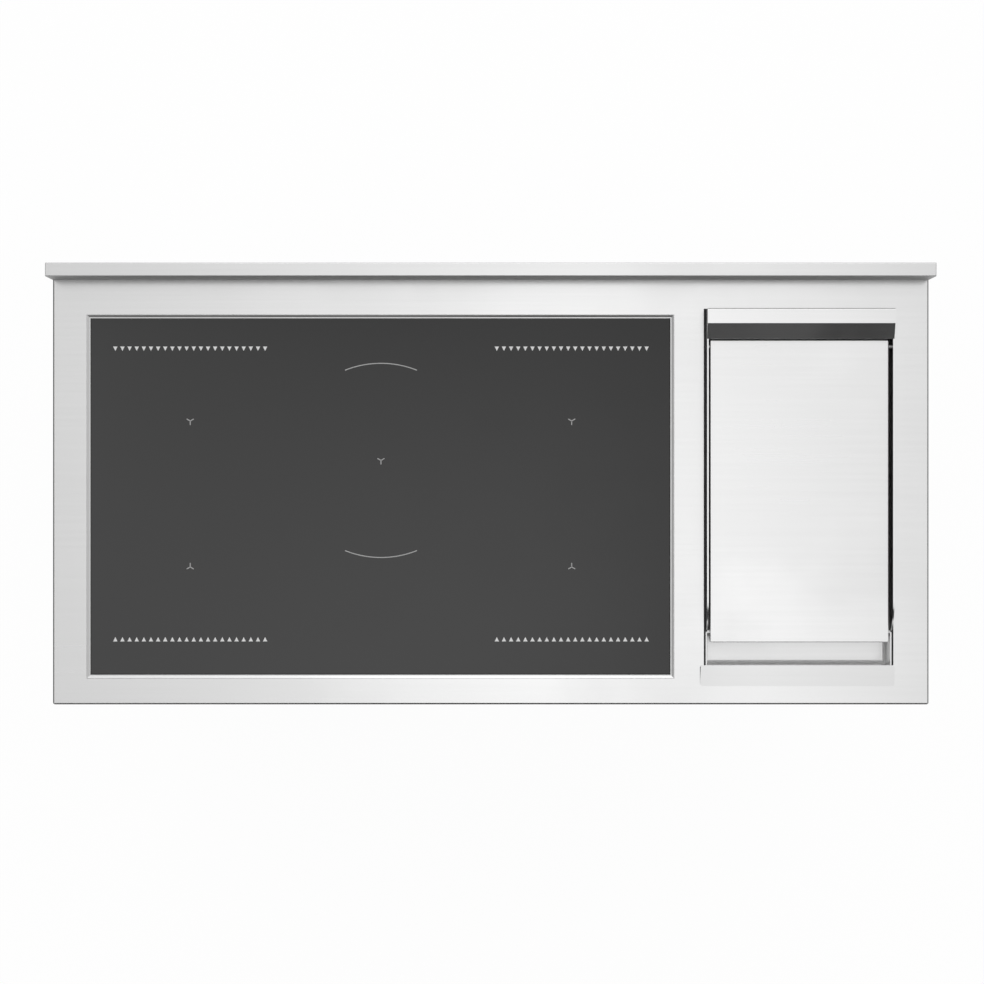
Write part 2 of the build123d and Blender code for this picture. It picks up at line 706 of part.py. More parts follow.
def build_lid_hinge_pins():
    """Builds the two pins that carry the lid, each with a collar between guard and lid."""
    at = (LID_PIN_Y, LID_PIN_Z)
    with BuildPart() as lid_hinge_pins:
        bar("x", at, LID_PIN_R, (TUB_X[0], LID_X[0] + 2 * LID_T))
        bar("x", at, LID_COLLAR_R, (TUB_INNER_X[0], LID_X[0] - FIT))
        bar("x", at, LID_PIN_R, (LID_X[1] - 2 * LID_T, TUB_X[1]))
        bar("x", at, LID_COLLAR_R, (LID_X[1] + FIT, TUB_INNER_X[1]))
    save(lid_hinge_pins, "lid_hinge_pins")


# Casing
SCREW_X = CASE_INNER_X - FLANGE_W / 2
SCREW_STEP = (WORKTOP_UNDER - BASE_TOP - 2 * SCREW_MARGIN) / (SCREWS - 1)
SCREW_Z = [BASE_TOP + SCREW_MARGIN + i * SCREW_STEP for i in range(SCREWS)]
SCREW_PLACES = [(x, z) for x in (-SCREW_X, SCREW_X) for z in SCREW_Z]
GLAND_Z = HEIGHT - GLAND_DROP
VENT_Z = HEIGHT - VENT_DROP
TERMINAL_X = WIDTH / 2 - TERMINAL_INSET


def build_side_panel(side, name):
    """Builds one side of the casing, with flanges at its top, front and rear."""
    sheet_x = sorted((side * CASE_INNER_X, side * CASE_X))
    flange_x = sorted((side * (CASE_INNER_X - FLANGE_W), side * CASE_INNER_X))
    full_z = (BASE_TOP, WORKTOP_UNDER)
    with BuildPart() as side_panel:
        block(sheet_x, (FRAME_Y, REAR_PANEL_Y[0]), full_z)
        block(flange_x, (OVEN_Y, REAR_PANEL_Y[0]), (WORKTOP_UNDER - CASE_T, WORKTOP_UNDER))
        block(flange_x, (OVEN_Y, OVEN_Y + CASE_T), full_z)
        block(flange_x, (REAR_PANEL_Y[0] - CASE_T, REAR_PANEL_Y[0]), full_z)
        holes = [(x, z) for x, z in SCREW_PLACES if x * side > 0]
        hole_y = (REAR_PANEL_Y[0] - CASE_T, REAR_PANEL_Y[0])
        bars("y", holes, SCREW_R + RUNNING_FIT, hole_y, mode=Mode.SUBTRACT)
    save(side_panel, name)


def build_rear_panel():
    """Builds the rear of the casing, with louvres, the gland's hole and the anti-tip holes."""
    with BuildPart() as rear_panel:
        block((-CASE_X, CASE_X), REAR_PANEL_Y, (BASE_TOP, WORKTOP_UNDER))
        louvre_plane = Plane(origin=(LOUVRE_X, CASE_REAR_Y, VENT_Z), x_dir=(1, 0, 0), z_dir=(0, 1, 0))
        with Locations(louvre_plane):
            with GridLocations(LOUVRE_PITCH_X, LOUVRE_PITCH_Z, LOUVRE_COLUMNS, LOUVRE_ROWS):
                Box(LOUVRE_W, LOUVRE_H, 4 * CASE_T, mode=Mode.SUBTRACT)
        bars("y", SCREW_PLACES, SCREW_R + RUNNING_FIT, REAR_PANEL_Y, mode=Mode.SUBTRACT)
        anti_tip_x = grow((-WIDTH / 2, WIDTH / 2), -ANTI_TIP_INSET)
        anti_tip = [(x, HEIGHT - ANTI_TIP_DROP) for x in anti_tip_x]
        bars("y", anti_tip, ANTI_TIP_R, REAR_PANEL_Y, mode=Mode.SUBTRACT)
        bar("y", (TERMINAL_X, GLAND_Z), GLAND_R + FIT, REAR_PANEL_Y, mode=Mode.SUBTRACT)
    save(rear_panel, "rear_panel")


def build_panel_screws():
    """Builds the screws that hold the rear panel to the side panels."""
    with BuildPart() as panel_screws:
        bars("y", SCREW_PLACES, SCREW_R, (REAR_PANEL_Y[0] - CASE_T, CASE_REAR_Y))
        bars("y", SCREW_PLACES, SCREW_HEAD_R, (CASE_REAR_Y, CASE_REAR_Y + SCREW_HEAD_H))
    save(panel_screws, "panel_screws")


def build_base_frame():
    """Builds the base sheet that the casing stands on."""
    with BuildPart() as base_frame:
        block((-CASE_X, CASE_X), (FRAME_Y, CASE_REAR_Y), (LEG_H, BASE_TOP))
    save(base_frame, "base_frame")


def build_oven_divider():
    """Builds the upright sheet between the two ovens."""
    with BuildPart() as oven_divider:
        x = around(DIVIDER_X, DIVIDER_T)
        block(x, (OVEN_Y, REAR_PANEL_Y[0]), (DRAWER_TOP, FRAME_TOP))
    save(oven_divider, "oven_divider")


# Ovens: each has its middle and inner width
MAIN_BAY = (-CASE_INNER_X, DIVIDER_X - DIVIDER_T / 2)
SECOND_BAY = (DIVIDER_X + DIVIDER_T / 2, CASE_INNER_X)
MAIN_OVEN_X = grow(MAIN_BAY, -MAIN_OVEN_MARGIN)
SECOND_OVEN_X = grow(SECOND_BAY, -SECOND_OVEN_MARGIN)
OVEN_Z = (OVEN_FLOOR, OVEN_CEILING)
OVEN_REAR_Y = REAR_PANEL_Y[0] - OVEN_REAR_GAP
FAN_X = sum(MAIN_OVEN_X) / 2
FAN_Z = sum(OVEN_Z) / 2
MAIN_DOOR_X = (-FACE_X, DIVIDER_X - DOOR_SIDE_GAP / 2)
SECOND_DOOR_X = (DIVIDER_X + DOOR_SIDE_GAP / 2, FACE_X)
HINGE_Y = FACE_Y + HINGE_DEPTH
HINGE_Z = DOOR_BOTTOM + HINGE_RISE
DRAWER_BOX_Z = (BASE_TOP + DRAWER_BOX_RISE, BASE_TOP + DRAWER_BOX_RISE + DRAWER_BOX_H)
DRAWER_X = grow((-CASE_INNER_X, CASE_INNER_X), -DRAWER_SIDE_GAP)
APERTURE_X = grow(DRAWER_X, RIB_W + APERTURE_MARGIN)


def rounded_prism(x, z, y, radius):
    """Returns a bar of rounded rectangular section, given by its x and z spans, along the y span."""
    with BuildPart() as prism:
        with BuildSketch(Plane(origin=(sum(x) / 2, y[0], sum(z) / 2), x_dir=(1, 0, 0), z_dir=(0, 1, 0))):
            RectangleRounded(x[1] - x[0], z[1] - z[0], radius)
        extrude(amount=y[1] - y[0])
    return prism.part


def build_front_frame():
    """Builds the sheet behind the doors, with its openings and the door hinges' ears."""
    sheet_y = (FRAME_Y, OVEN_Y)
    ear_places = [x for door in (MAIN_DOOR_X, SECOND_DOOR_X) for x in grow(door, -HINGE_INSET)]
    with BuildPart() as front_frame:
        block((-CASE_INNER_X, CASE_INNER_X), sheet_y, (BASE_TOP, FRAME_TOP))
        for oven_x in (MAIN_OVEN_X, SECOND_OVEN_X):
            block(oven_x, sheet_y, OVEN_Z, mode=Mode.SUBTRACT)
        aperture_z = (DRAWER_BOTTOM, DRAWER_TOP - FRONT_GAP)
        block(APERTURE_X, sheet_y, aperture_z, mode=Mode.SUBTRACT)
        wiring_x = grow((-FACE_X, FACE_X), -HINGE_INSET)
        wiring_z = (PANEL_BOTTOM + FLANGE_W, FRAME_TOP - FLANGE_W)
        block(wiring_x, sheet_y, wiring_z, mode=Mode.SUBTRACT)
        for x in ear_places:
            ear_x = around(x, EAR_W)
            block(ear_x, (HINGE_Y, FRAME_Y), around(HINGE_Z, 2 * EAR_R))
            bar("x", (HINGE_Y, HINGE_Z), EAR_R, ear_x)
            bar("x", (HINGE_Y, HINGE_Z), HINGE_PIN_R + RUNNING_FIT, ear_x, mode=Mode.SUBTRACT)
    save(front_frame, "front_frame")


def build_oven_cavity(name, x, has_fan):
    """Builds one oven's liner, open at the front, with a flange against the front frame."""
    outer = rounded_prism(
        grow(x, OVEN_T),
        grow(OVEN_Z, OVEN_T),
        (OVEN_Y, OVEN_REAR_Y + OVEN_T),
        OVEN_CORNER_R + OVEN_T,
    )
    inner = rounded_prism(x, OVEN_Z, (OVEN_Y, OVEN_REAR_Y), OVEN_CORNER_R)
    flange_reach = OVEN_FLANGE + OVEN_T
    flange = rounded_prism(
        grow(x, flange_reach),
        grow(OVEN_Z, flange_reach),
        (OVEN_Y, OVEN_Y + OVEN_T),
        OVEN_CORNER_R + flange_reach,
    )
    with BuildPart() as cavity:
        add(outer)
        add(flange)
        add(inner, mode=Mode.SUBTRACT)
        if has_fan:
            wall_y = (OVEN_REAR_Y, OVEN_REAR_Y + OVEN_T)
            bar("y", (FAN_X, FAN_Z), FAN_SHAFT_R + 1, wall_y, mode=Mode.SUBTRACT)
    save(cavity, name)


def build_oven_insulation():
    """Builds the mineral wool round both ovens, with a pocket for each base element."""
    inner_z = (OVEN_FLOOR - OVEN_T - ELEMENT_POCKET, OVEN_CEILING + OVEN_T)
    with BuildPart() as oven_insulation:
        for oven_x in (MAIN_OVEN_X, SECOND_OVEN_X):
            inner_x = grow(oven_x, OVEN_T)
            inner_y = (OVEN_Y + OVEN_T, OVEN_REAR_Y + OVEN_T)
            outer_y = (inner_y[0], inner_y[1] + INSULATION_T)
            block(grow(inner_x, INSULATION_T), outer_y, grow(inner_z, INSULATION_T))
            block(inner_x, inner_y, inner_z, mode=Mode.SUBTRACT)
        shaft_y = (OVEN_REAR_Y + OVEN_T, OVEN_REAR_Y + OVEN_T + INSULATION_T)
        bar("y", (FAN_X, FAN_Z), 2 * FAN_SHAFT_R, shaft_y, mode=Mode.SUBTRACT)
    save(oven_insulation, "oven_insulation")


def shelf_levels(count):
    """Returns the heights of the rails' runners, from the lowest."""
    return [OVEN_FLOOR + RAIL_FIRST + i * RAIL_PITCH for i in range(count)]


RAIL_LEVELS = shelf_levels(4)
RUNNER_Y = (OVEN_Y + 2 * FLANGE_W, OVEN_REAR_Y - COVER_D - FLANGE_W)
WALL_ROD = FIT + RAIL_R
RUNNER_ROD = WALL_ROD + RAIL_STEP
SHELF_ROD = RUNNER_ROD + RAIL_R / 2


def build_shelf_rails():
    """Builds the wire ladders on the oven walls that the shelves rest on."""
    upright_z = (RAIL_LEVELS[0] - 2 * RAIL_STEP, RAIL_LEVELS[-1] + 2 * RAIL_STEP)
    upright_y = grow(RUNNER_Y, -FLANGE_W)
    with BuildPart() as shelf_rails:
        for oven_x in (MAIN_OVEN_X, SECOND_OVEN_X):
            uprights = [(x, y) for x in grow(oven_x, -WALL_ROD) for y in upright_y]
            runners = [(x, z) for x in grow(oven_x, -RUNNER_ROD) for z in RAIL_LEVELS]
            bars("z", uprights, RAIL_R, upright_z)
            bars("y", runners, RAIL_R, RUNNER_Y)
    save(shelf_rails, "shelf_rails")


def shelf(oven_x, level):
    """Returns a wire shelf that rests just above the rails of the given level."""
    x = grow(oven_x, -SHELF_ROD)
    y = RUNNER_Y
    z = level + RAIL_R + FIT + SHELF_WIRE_R
    count = int((x[1] - x[0]) / SHELF_BAR_PITCH)
    gap = (x[1] - x[0]) / count
    corners = [(x[0], y[0], z), (x[1], y[0], z), (x[1], y[1], z), (x[0], y[1], z)]
    with BuildPart() as result:
        with BuildLine():
            FilletPolyline(*corners, radius=SHELF_CORNER_R, close=True)
        with BuildSketch(Plane(origin=(sum(x) / 2, y[0], z), z_dir=(1, 0, 0))):
            Circle(SHELF_WIRE_R)
        sweep()
        bars("y", [(x[0] + i * gap, z) for i in range(1, count)], SHELF_BAR_R, y)
    return result.part


def build_oven_shelves():
    """Builds two shelves for the main oven and one for the second oven."""
    shelves = [
        shelf(MAIN_OVEN_X, RAIL_LEVELS[0]),
        shelf(MAIN_OVEN_X, RAIL_LEVELS[2]),
        shelf(SECOND_OVEN_X, RAIL_LEVELS[1]),
    ]
    with BuildPart() as oven_shelves:
        add(shelves)
    save(oven_shelves, "oven_shelves")


def build_oven_elements():
    """Builds the grill and base rods of both ovens and the ring round the main oven's fan."""
    base_z = OVEN_FLOOR - OVEN_T - FIT - ELEMENT_R
    grill_z = OVEN_CEILING - GRILL_DROP
    rod_y = (OVEN_Y + GRILL_INSET, OVEN_REAR_Y)
    ring_y = OVEN_REAR_Y - COVER_D / 2
    rods = []
    for oven_x, runs in ((MAIN_OVEN_X, 6), (SECOND_OVEN_X, 4)):
        rod_x = grow(oven_x, -GRILL_INSET)
        rods.append(serpentine(rod_x, rod_y, grill_z, runs))
        rods.append(serpentine(rod_x, rod_y, base_z, runs))
    with BuildPart() as oven_elements:
        add(rods)
        with Locations((FAN_X, ring_y, FAN_Z)):
            Torus(RING_R, ELEMENT_R, rotation=(90, 0, 0))
        tails = [(x, FAN_Z) for x in around(FAN_X, 2 * RING_R)]
        bars("y", tails, RING_TAIL_R, (ring_y, OVEN_REAR_Y))
    save(oven_elements, "oven_elements")


def build_fan_cover():
    """Builds the sheet cover over the oven fan, with a slotted inlet and open outlets."""
    x = around(FAN_X, COVER_W)
    z = grow(OVEN_Z, -COVER_MARGIN)
    y = (OVEN_REAR_Y - COVER_D, OVEN_REAR_Y)
    slot_l = FAN_R / 2
    outlet_w = (z[1] - z[0]) / 12
    with BuildPart() as fan_cover:
        block(x, y, z)
        block(grow(x, -COVER_T), (y[0] + COVER_T, y[1]), grow(z, -COVER_T), mode=Mode.SUBTRACT)
        with Locations(Plane(origin=(FAN_X, y[0], FAN_Z), z_dir=(0, -1, 0))):
            with PolarLocations(slot_l, COVER_SLOTS):
                Box(slot_l, slot_l / 6, 4 * COVER_T, mode=Mode.SUBTRACT)
        with Locations((FAN_X, sum(y) / 2, FAN_Z)):
            with GridLocations(COVER_W, 1, 2, 1):
                for row in (-3, -1, 1, 3):
                    with Locations((0, 0, row * outlet_w * 1.3)):
                        Box(4 * COVER_T, COVER_D / 2, outlet_w, mode=Mode.SUBTRACT)
    save(fan_cover, "fan_cover")


def build_oven_fan():
    """Builds the impeller and its shaft, which runs through the oven's rear wall to the motor."""
    plate_y = OVEN_REAR_Y - COVER_D / 4
    vane_y = plate_y - FAN_VANE_D / 2
    motor_y = OVEN_REAR_Y + OVEN_T + INSULATION_T
    with BuildPart() as oven_fan:
        bar("y", (FAN_X, FAN_Z), FAN_R, (plate_y, plate_y + FAN_PLATE_T))
        bar("y", (FAN_X, FAN_Z), FAN_HUB_R, (plate_y - FAN_VANE_D, plate_y))
        vane_x = (FAN_HUB_R / 2, FAN_R - FAN_RIM)
        with Locations(Plane(origin=(FAN_X, vane_y, FAN_Z), z_dir=(0, -1, 0))):
            with PolarLocations(sum(vane_x) / 2, FAN_VANES):
                Box(vane_x[1] - vane_x[0], FAN_PLATE_T, FAN_VANE_D)
        bar("y", (FAN_X, FAN_Z), FAN_SHAFT_R, (plate_y - FAN_VANE_D, motor_y + MOTOR_L / 2))
    save(oven_fan, "oven_fan")


def build_fan_motor():
    """Builds the motor behind the insulation, with the bore that the fan's shaft turns in."""
    y = (OVEN_REAR_Y + OVEN_T + INSULATION_T, OVEN_REAR_Y + OVEN_T + INSULATION_T + MOTOR_L)
    with BuildPart() as fan_motor:
        bar("y", (FAN_X, FAN_Z), MOTOR_R, y)
        foot_y = (y[0], y[0] + MOTOR_FOOT_T)
        block(around(FAN_X, MOTOR_FOOT_W), foot_y, around(FAN_Z, MOTOR_R))
        bore_y = (y[0], y[0] + MOTOR_L / 2 + FIT)
        bar("y", (FAN_X, FAN_Z), FAN_SHAFT_R + RUNNING_FIT, bore_y, mode=Mode.SUBTRACT)
    save(fan_motor, "fan_motor")


def build_door_gaskets():
    """Builds the seal round each oven's mouth."""
    y = (FRAME_Y - GASKET_T, FRAME_Y)
    rings = []
    for oven_x in (MAIN_OVEN_X, SECOND_OVEN_X):
        outer = GASKET_OFFSET + GASKET_W
        outside = rounded_prism(grow(oven_x, outer), grow(OVEN_Z, outer), y, OVEN_CORNER_R + outer)
        inside_x = grow(oven_x, GASKET_OFFSET)
        inside = rounded_prism(inside_x, grow(OVEN_Z, GASKET_OFFSET), y, OVEN_CORNER_R + GASKET_OFFSET)
        rings.append(outside - inside)
    with BuildPart() as door_gaskets:
        add(rings)
    save(door_gaskets, "door_gaskets")


# Doors
DOOR_Z = (DOOR_BOTTOM, DOOR_TOP)
LINER_Y = (DOOR_BACK_Y - LINER_T, DOOR_BACK_Y)
WINDOW_Z = (DOOR_BOTTOM + WINDOW_LOW, DOOR_TOP - WINDOW_HIGH)
SLOT_HALF = EAR_W / 2 + EAR_SIDE_GAP
SLOT_TOP = HINGE_Z + EAR_R + 2


def ear_slots(x):
    """Cuts the slots that the hinge ears need, from the liner to under the door's skin."""
    for hinge_x in grow(x, -HINGE_INSET):
        slot_x = around(hinge_x, 2 * SLOT_HALF)
        slot_y = (HINGE_Y - EAR_R - 1, DOOR_BACK_Y)
        block(slot_x, slot_y, (DOOR_BOTTOM, DOOR_BOTTOM + SKIN_T), mode=Mode.SUBTRACT)
        block(slot_x, LINER_Y, (DOOR_BOTTOM, SLOT_TOP), mode=Mode.SUBTRACT)


def build_door(name, x):
    """Builds a door: its skin, its two panes and its liner with the hinge cheeks and pins."""
    window_x = grow(x, -WINDOW_SIDE)
    with BuildPart() as panel:
        block(x, (FACE_Y, LINER_Y[0]), DOOR_Z)
        fillet(panel.faces().sort_by(Axis.Y)[0].edges(), SKIN_T * 0.8)
        block(grow(x, -SKIN_T), (FACE_Y + SKIN_T, LINER_Y[0]), grow(DOOR_Z, -SKIN_T), mode=Mode.SUBTRACT)
        block(window_x, (FACE_Y, FACE_Y + SKIN_T), WINDOW_Z, mode=Mode.SUBTRACT)
        ear_slots(x)
    save(panel, f"{name}_door_panel")

    pane_x = grow(window_x, PANE_LAP)
    pane_z = grow(WINDOW_Z, PANE_LAP)
    with BuildPart() as glass:
        block(pane_x, (FACE_Y + SKIN_T, FACE_Y + SKIN_T + PANE_T), pane_z)
        block(pane_x, (LINER_Y[0] - PANE_T, LINER_Y[0]), pane_z)
    save(glass, f"{name}_door_glass")

    cheek_y = (HINGE_Y - CHEEK_H / 3, LINER_Y[0])
    cheek_z = (DOOR_BOTTOM + SKIN_T + FIT, DOOR_BOTTOM + SKIN_T + FIT + CHEEK_H)
    with BuildPart() as liner:
        block(x, LINER_Y, DOOR_Z)
        block(window_x, LINER_Y, WINDOW_Z, mode=Mode.SUBTRACT)
        ear_slots(x)
        for hinge_x in grow(x, -HINGE_INSET):
            slot_x = around(hinge_x, 2 * SLOT_HALF)
            block((slot_x[0] - CHEEK_T, slot_x[0]), cheek_y, cheek_z)
            block((slot_x[1], slot_x[1] + CHEEK_T), cheek_y, cheek_z)
            bar("x", (HINGE_Y, HINGE_Z), HINGE_PIN_R, grow(slot_x, CHEEK_T))
    save(liner, f"{name}_door_liner")


def build_handle(name, x, z):
    """Builds a round bar handle on two posts that stand on the face."""
    bar_y = FACE_Y - HANDLE_STANDOFF
    with BuildPart() as handle:
        bar("x", (bar_y, z), HANDLE_R, x)
        fillet(handle.edges().filter_by(GeomType.CIRCLE), HANDLE_R / 4)
        for post_x in grow(x, -2 * HANDLE_R):
            bar("y", (post_x, z), HANDLE_POST_R, (bar_y, FACE_Y))
    save(handle, name)


# Drawer
DRAWER_BACK_Y = REAR_PANEL_Y[0] - DRAWER_REAR_GAP
DRAWER_FRONT_Z = (DRAWER_BOTTOM, DRAWER_TOP)
RIB_Z = (DRAWER_BOX_Z[0] + RIB_RISE, DRAWER_BOX_Z[0] + RIB_RISE + RIB_H)


def build_drawer():
    """Builds the drawer's box with its side ribs, and the skin on its front."""
    box_y = (DOOR_BACK_Y, DRAWER_BACK_Y)
    with BuildPart() as drawer_box:
        block(DRAWER_X, box_y, DRAWER_BOX_Z)
        hollow_z = (DRAWER_BOX_Z[0] + DRAWER_T, DRAWER_BOX_Z[1])
        block(grow(DRAWER_X, -DRAWER_T), grow(box_y, -DRAWER_T), hollow_z, mode=Mode.SUBTRACT)
        plate_x = (-FACE_X + SKIN_T, FACE_X - SKIN_T)
        block(plate_x, (DOOR_BACK_Y, DOOR_BACK_Y + DRAWER_T), grow(DRAWER_FRONT_Z, -SKIN_T))
        for inner, outer in ((DRAWER_X[0], DRAWER_X[0] - RIB_W), (DRAWER_X[1], DRAWER_X[1] + RIB_W)):
            rib_y = (OVEN_Y + FLANGE_W, DRAWER_BACK_Y)
            block(sorted((inner, outer)), rib_y, RIB_Z)
    save(drawer_box, "drawer_box")

    face_x = (-FACE_X, FACE_X)
    with BuildPart() as drawer_front:
        block(face_x, (FACE_Y, DOOR_BACK_Y), DRAWER_FRONT_Z)
        fillet(drawer_front.faces().sort_by(Axis.Y)[0].edges(), SKIN_T * 0.8)
        hollow_y = (FACE_Y + SKIN_T, DOOR_BACK_Y)
        block(grow(face_x, -SKIN_T), hollow_y, grow(DRAWER_FRONT_Z, -SKIN_T), mode=Mode.SUBTRACT)
    save(drawer_front, "drawer_front")


def build_drawer_runners():
    """Builds the two grooved runners that stand on the base and carry the drawer's ribs."""
    runner_y = (OVEN_Y + FIT, REAR_PANEL_Y[0] - RUNNER_REAR_GAP)
    groove_z = grow(RIB_Z, FIT)
    with BuildPart() as drawer_runners:
        for side in (-1, 1):
            near = DRAWER_X[1] + RIB_W / 3
            runner_x = sorted((side * near, side * (near + RUNNER_W)))
            groove_x = sorted((side * near, side * (DRAWER_X[1] + RIB_W + FIT)))
            block(runner_x, runner_y, (BASE_TOP, BASE_TOP + RUNNER_H))
            block(groove_x, runner_y, groove_z, mode=Mode.SUBTRACT)
    save(drawer_runners, "drawer_runners")


# Legs and plinth
LEG_X = grow((-WIDTH / 2, WIDTH / 2), -LEG_INSET)
LEG_Y = (FACE_Y + FRONT_LEG_SETBACK, REAR_Y - REAR_LEG_INSET)
LEG_PLACES = [(x, y) for x in LEG_X for y in LEG_Y]


def build_legs():
    """Builds the four sleeves under the base and the feet that adjust in them."""
    with BuildPart() as leg_sleeves:
        bars("z", LEG_PLACES, SLEEVE_R, (LEG_H - SLEEVE_H, LEG_H))
        bars("z", LEG_PLACES, FOOT_STEM_R + FIT, (LEG_H - SLEEVE_H, LEG_H), mode=Mode.SUBTRACT)
    save(leg_sleeves, "leg_sleeves")

    with BuildPart() as levelling_feet:
        bars("z", LEG_PLACES, FOOT_STEM_R, (0, LEG_H))
        bars("z", LEG_PLACES, FOOT_PAD_R, (0, FOOT_PAD_H))
    save(levelling_feet, "levelling_feet")


def build_plinth():
    """Builds the kick plate in front of the legs, with its top flange and side returns."""
    front_y = FACE_Y + PLINTH_SETBACK
    x = grow((-WIDTH / 2, WIDTH / 2), -PLINTH_INSET)
    z = (PLINTH_RISE, LEG_H)
    with BuildPart() as plinth:
        block(x, (front_y - CASE_T, front_y), z)
        block(x, (front_y - FLANGE_W, front_y), (LEG_H - CASE_T, LEG_H))
        block((x[0], x[0] + CASE_T), (front_y, front_y + PLINTH_RETURN), z)
        block((x[1] - CASE_T, x[1]), (front_y, front_y + PLINTH_RETURN), z)
    save(plinth, "plinth")


# Controls
KNOB_NAMES = [
    "knob_main_function",
    "knob_main_temperature",
    "clock_display",
    "knob_zone_rear_left",
    "knob_zone_front_left",
    "knob_zone_centre",
    "knob_zone_front_right",
    "knob_zone_rear_right",
    "knob_griddle",
    "knob_second_oven",
]
CONTROL_PITCH = (WIDTH - 2 * CONTROL_MARGIN) / (CONTROLS - 1)
CONTROL_X = [(i - (CONTROLS - 1) / 2) * CONTROL_PITCH for i in range(CONTROLS)]
CONTROL_Z = (PANEL_BOTTOM + SKIRT_BOTTOM) / 2
KNOB_PLACES = [(x, CONTROL_Z) for i, x in enumerate(CONTROL_X) if i != DISPLAY_SLOT]
DISPLAY_X = CONTROL_X[DISPLAY_SLOT]
PANEL_Y = (FACE_Y, FACE_Y + SKIN_T)
SWITCH_Y = (PANEL_Y[1], PANEL_Y[1] + SWITCH_D)


def build_control_panel():
    """Builds the control panel's folded sheet, with the holes for the switches and the display."""
    x = (-FACE_X, FACE_X)
    z = (PANEL_BOTTOM, SKIRT_BOTTOM)
    with BuildPart() as control_panel:
        block(x, (FACE_Y, FRAME_Y), z)
        fillet(control_panel.faces().sort_by(Axis.Y)[0].edges(), SKIN_T * 0.8)
        block(grow(x, -SKIN_T), (PANEL_Y[1], FRAME_Y), grow(z, -SKIN_T), mode=Mode.SUBTRACT)
        bars("y", KNOB_PLACES, BUSHING_R + FIT, PANEL_Y, mode=Mode.SUBTRACT)
        display_x = grow(around(DISPLAY_X, DISPLAY_W), FIT)
        display_z = grow(around(CONTROL_Z, DISPLAY_H), FIT)
        block(display_x, PANEL_Y, display_z, mode=Mode.SUBTRACT)
    save(control_panel, "control_panel")


def build_clock_display():
    """Builds the clock's window, which is held by a flange behind the panel."""
    x = around(DISPLAY_X, DISPLAY_W)
    z = around(CONTROL_Z, DISPLAY_H)
    with BuildPart() as clock_display:
        block(x, (FACE_Y - 1, FACE_Y + DISPLAY_D), z)
        flange_y = (PANEL_Y[1], PANEL_Y[1] + CASE_T)
        block(grow(x, DISPLAY_FLANGE), flange_y, grow(z, DISPLAY_FLANGE))
    save(clock_display, "clock_display")


def build_control_switches():
    """Builds the switch behind each knob, with its bushing through the panel."""
    with BuildPart() as control_switches:
        with Locations([(x, sum(SWITCH_Y) / 2, z) for x, z in KNOB_PLACES]):
            Box(SWITCH_W, SWITCH_D, SWITCH_W)
        bars("y", KNOB_PLACES, BUSHING_R, (FACE_Y, SWITCH_Y[0]))
        bore_y = (FACE_Y, SWITCH_Y[0] + SWITCH_BORE)
        bars("y", KNOB_PLACES, KNOB_SHAFT_R + RUNNING_FIT, bore_y, mode=Mode.SUBTRACT)
    save(control_switches, "control_switches")


def build_dial_rings():
    """Builds the raised ring round each knob."""
    with BuildPart() as dial_rings:
        ring_y = (FACE_Y - DIAL_T, FACE_Y)
        bars("y", KNOB_PLACES, DIAL_R, ring_y)
        bars("y", KNOB_PLACES, DIAL_R - DIAL_W, ring_y, mode=Mode.SUBTRACT)
    save(dial_rings, "dial_rings")


def knob_pattern():
    """Returns a knob on the X = 0, Z = 0 line: skirt, fluted grip, pointer rib and shaft."""
    skirt_y = (FACE_Y - FIT - KNOB_SKIRT_T, FACE_Y - FIT)
    nose_y = FACE_Y - KNOB_L
    grip = (nose_y, skirt_y[0])
    with BuildPart() as knob:
        bar("y", (0, 0), KNOB_R, grip)
        fillet(knob.faces().sort_by(Axis.Y)[0].edges(), KNOB_R / 8)
        with Locations(Plane(origin=(0, sum(grip) / 2, 0), z_dir=(0, 1, 0))):
            with PolarLocations(KNOB_R + KNOB_FLUTE_R / 2, KNOB_FLUTES):
                Cylinder(KNOB_FLUTE_R, grip[1] - grip[0], mode=Mode.SUBTRACT)
        bar("y", (0, 0), KNOB_SKIRT_R, skirt_y)
        fillet(knob.faces().filter_by(Axis.Y).sort_by(SortBy.AREA)[-1].outer_wire().edges(), KNOB_SKIRT_T / 4)
        rib_z = (KNOB_R * 0.2, KNOB_R * 0.85)
        block(around(0, KNOB_RIB_W), (nose_y - KNOB_RIB_H, nose_y + KNOB_RIB_H), rib_z)
        bar("y", (0, 0), KNOB_SHAFT_R, (skirt_y[1], SWITCH_Y[0] + SWITCH_BORE - FIT))
    return knob.part


def build_knobs():
    """Places one copy of the knob at each switch."""
    pattern = knob_pattern()
    for name, x in zip(KNOB_NAMES, CONTROL_X):
        if name == "clock_display":
            continue
        with BuildPart() as knob:
            with Locations((x, 0, CONTROL_Z)):
                add(pattern)
        save(knob, name)


def build_terminal_box():
    """Builds the supply's terminal box inside the rear panel, with its gland through the panel."""
    y = (REAR_PANEL_Y[0] - TERMINAL_D, REAR_PANEL_Y[0])
    x = around(TERMINAL_X, TERMINAL_W)
    z = around(GLAND_Z, TERMINAL_H)
    at = (TERMINAL_X, GLAND_Z)
    with BuildPart() as terminal_box:
        block(x, y, z)
        block(grow(x, -TERMINAL_T), grow(y, -TERMINAL_T), grow(z, -TERMINAL_T), mode=Mode.SUBTRACT)
        gland_y = (y[1] - TERMINAL_T, CASE_REAR_Y + GLAND_OUT)
        bar("y", at, GLAND_R, gland_y)
        bar("y", at, GLAND_BORE_R, gland_y, mode=Mode.SUBTRACT)
    save(terminal_box, "terminal_box")


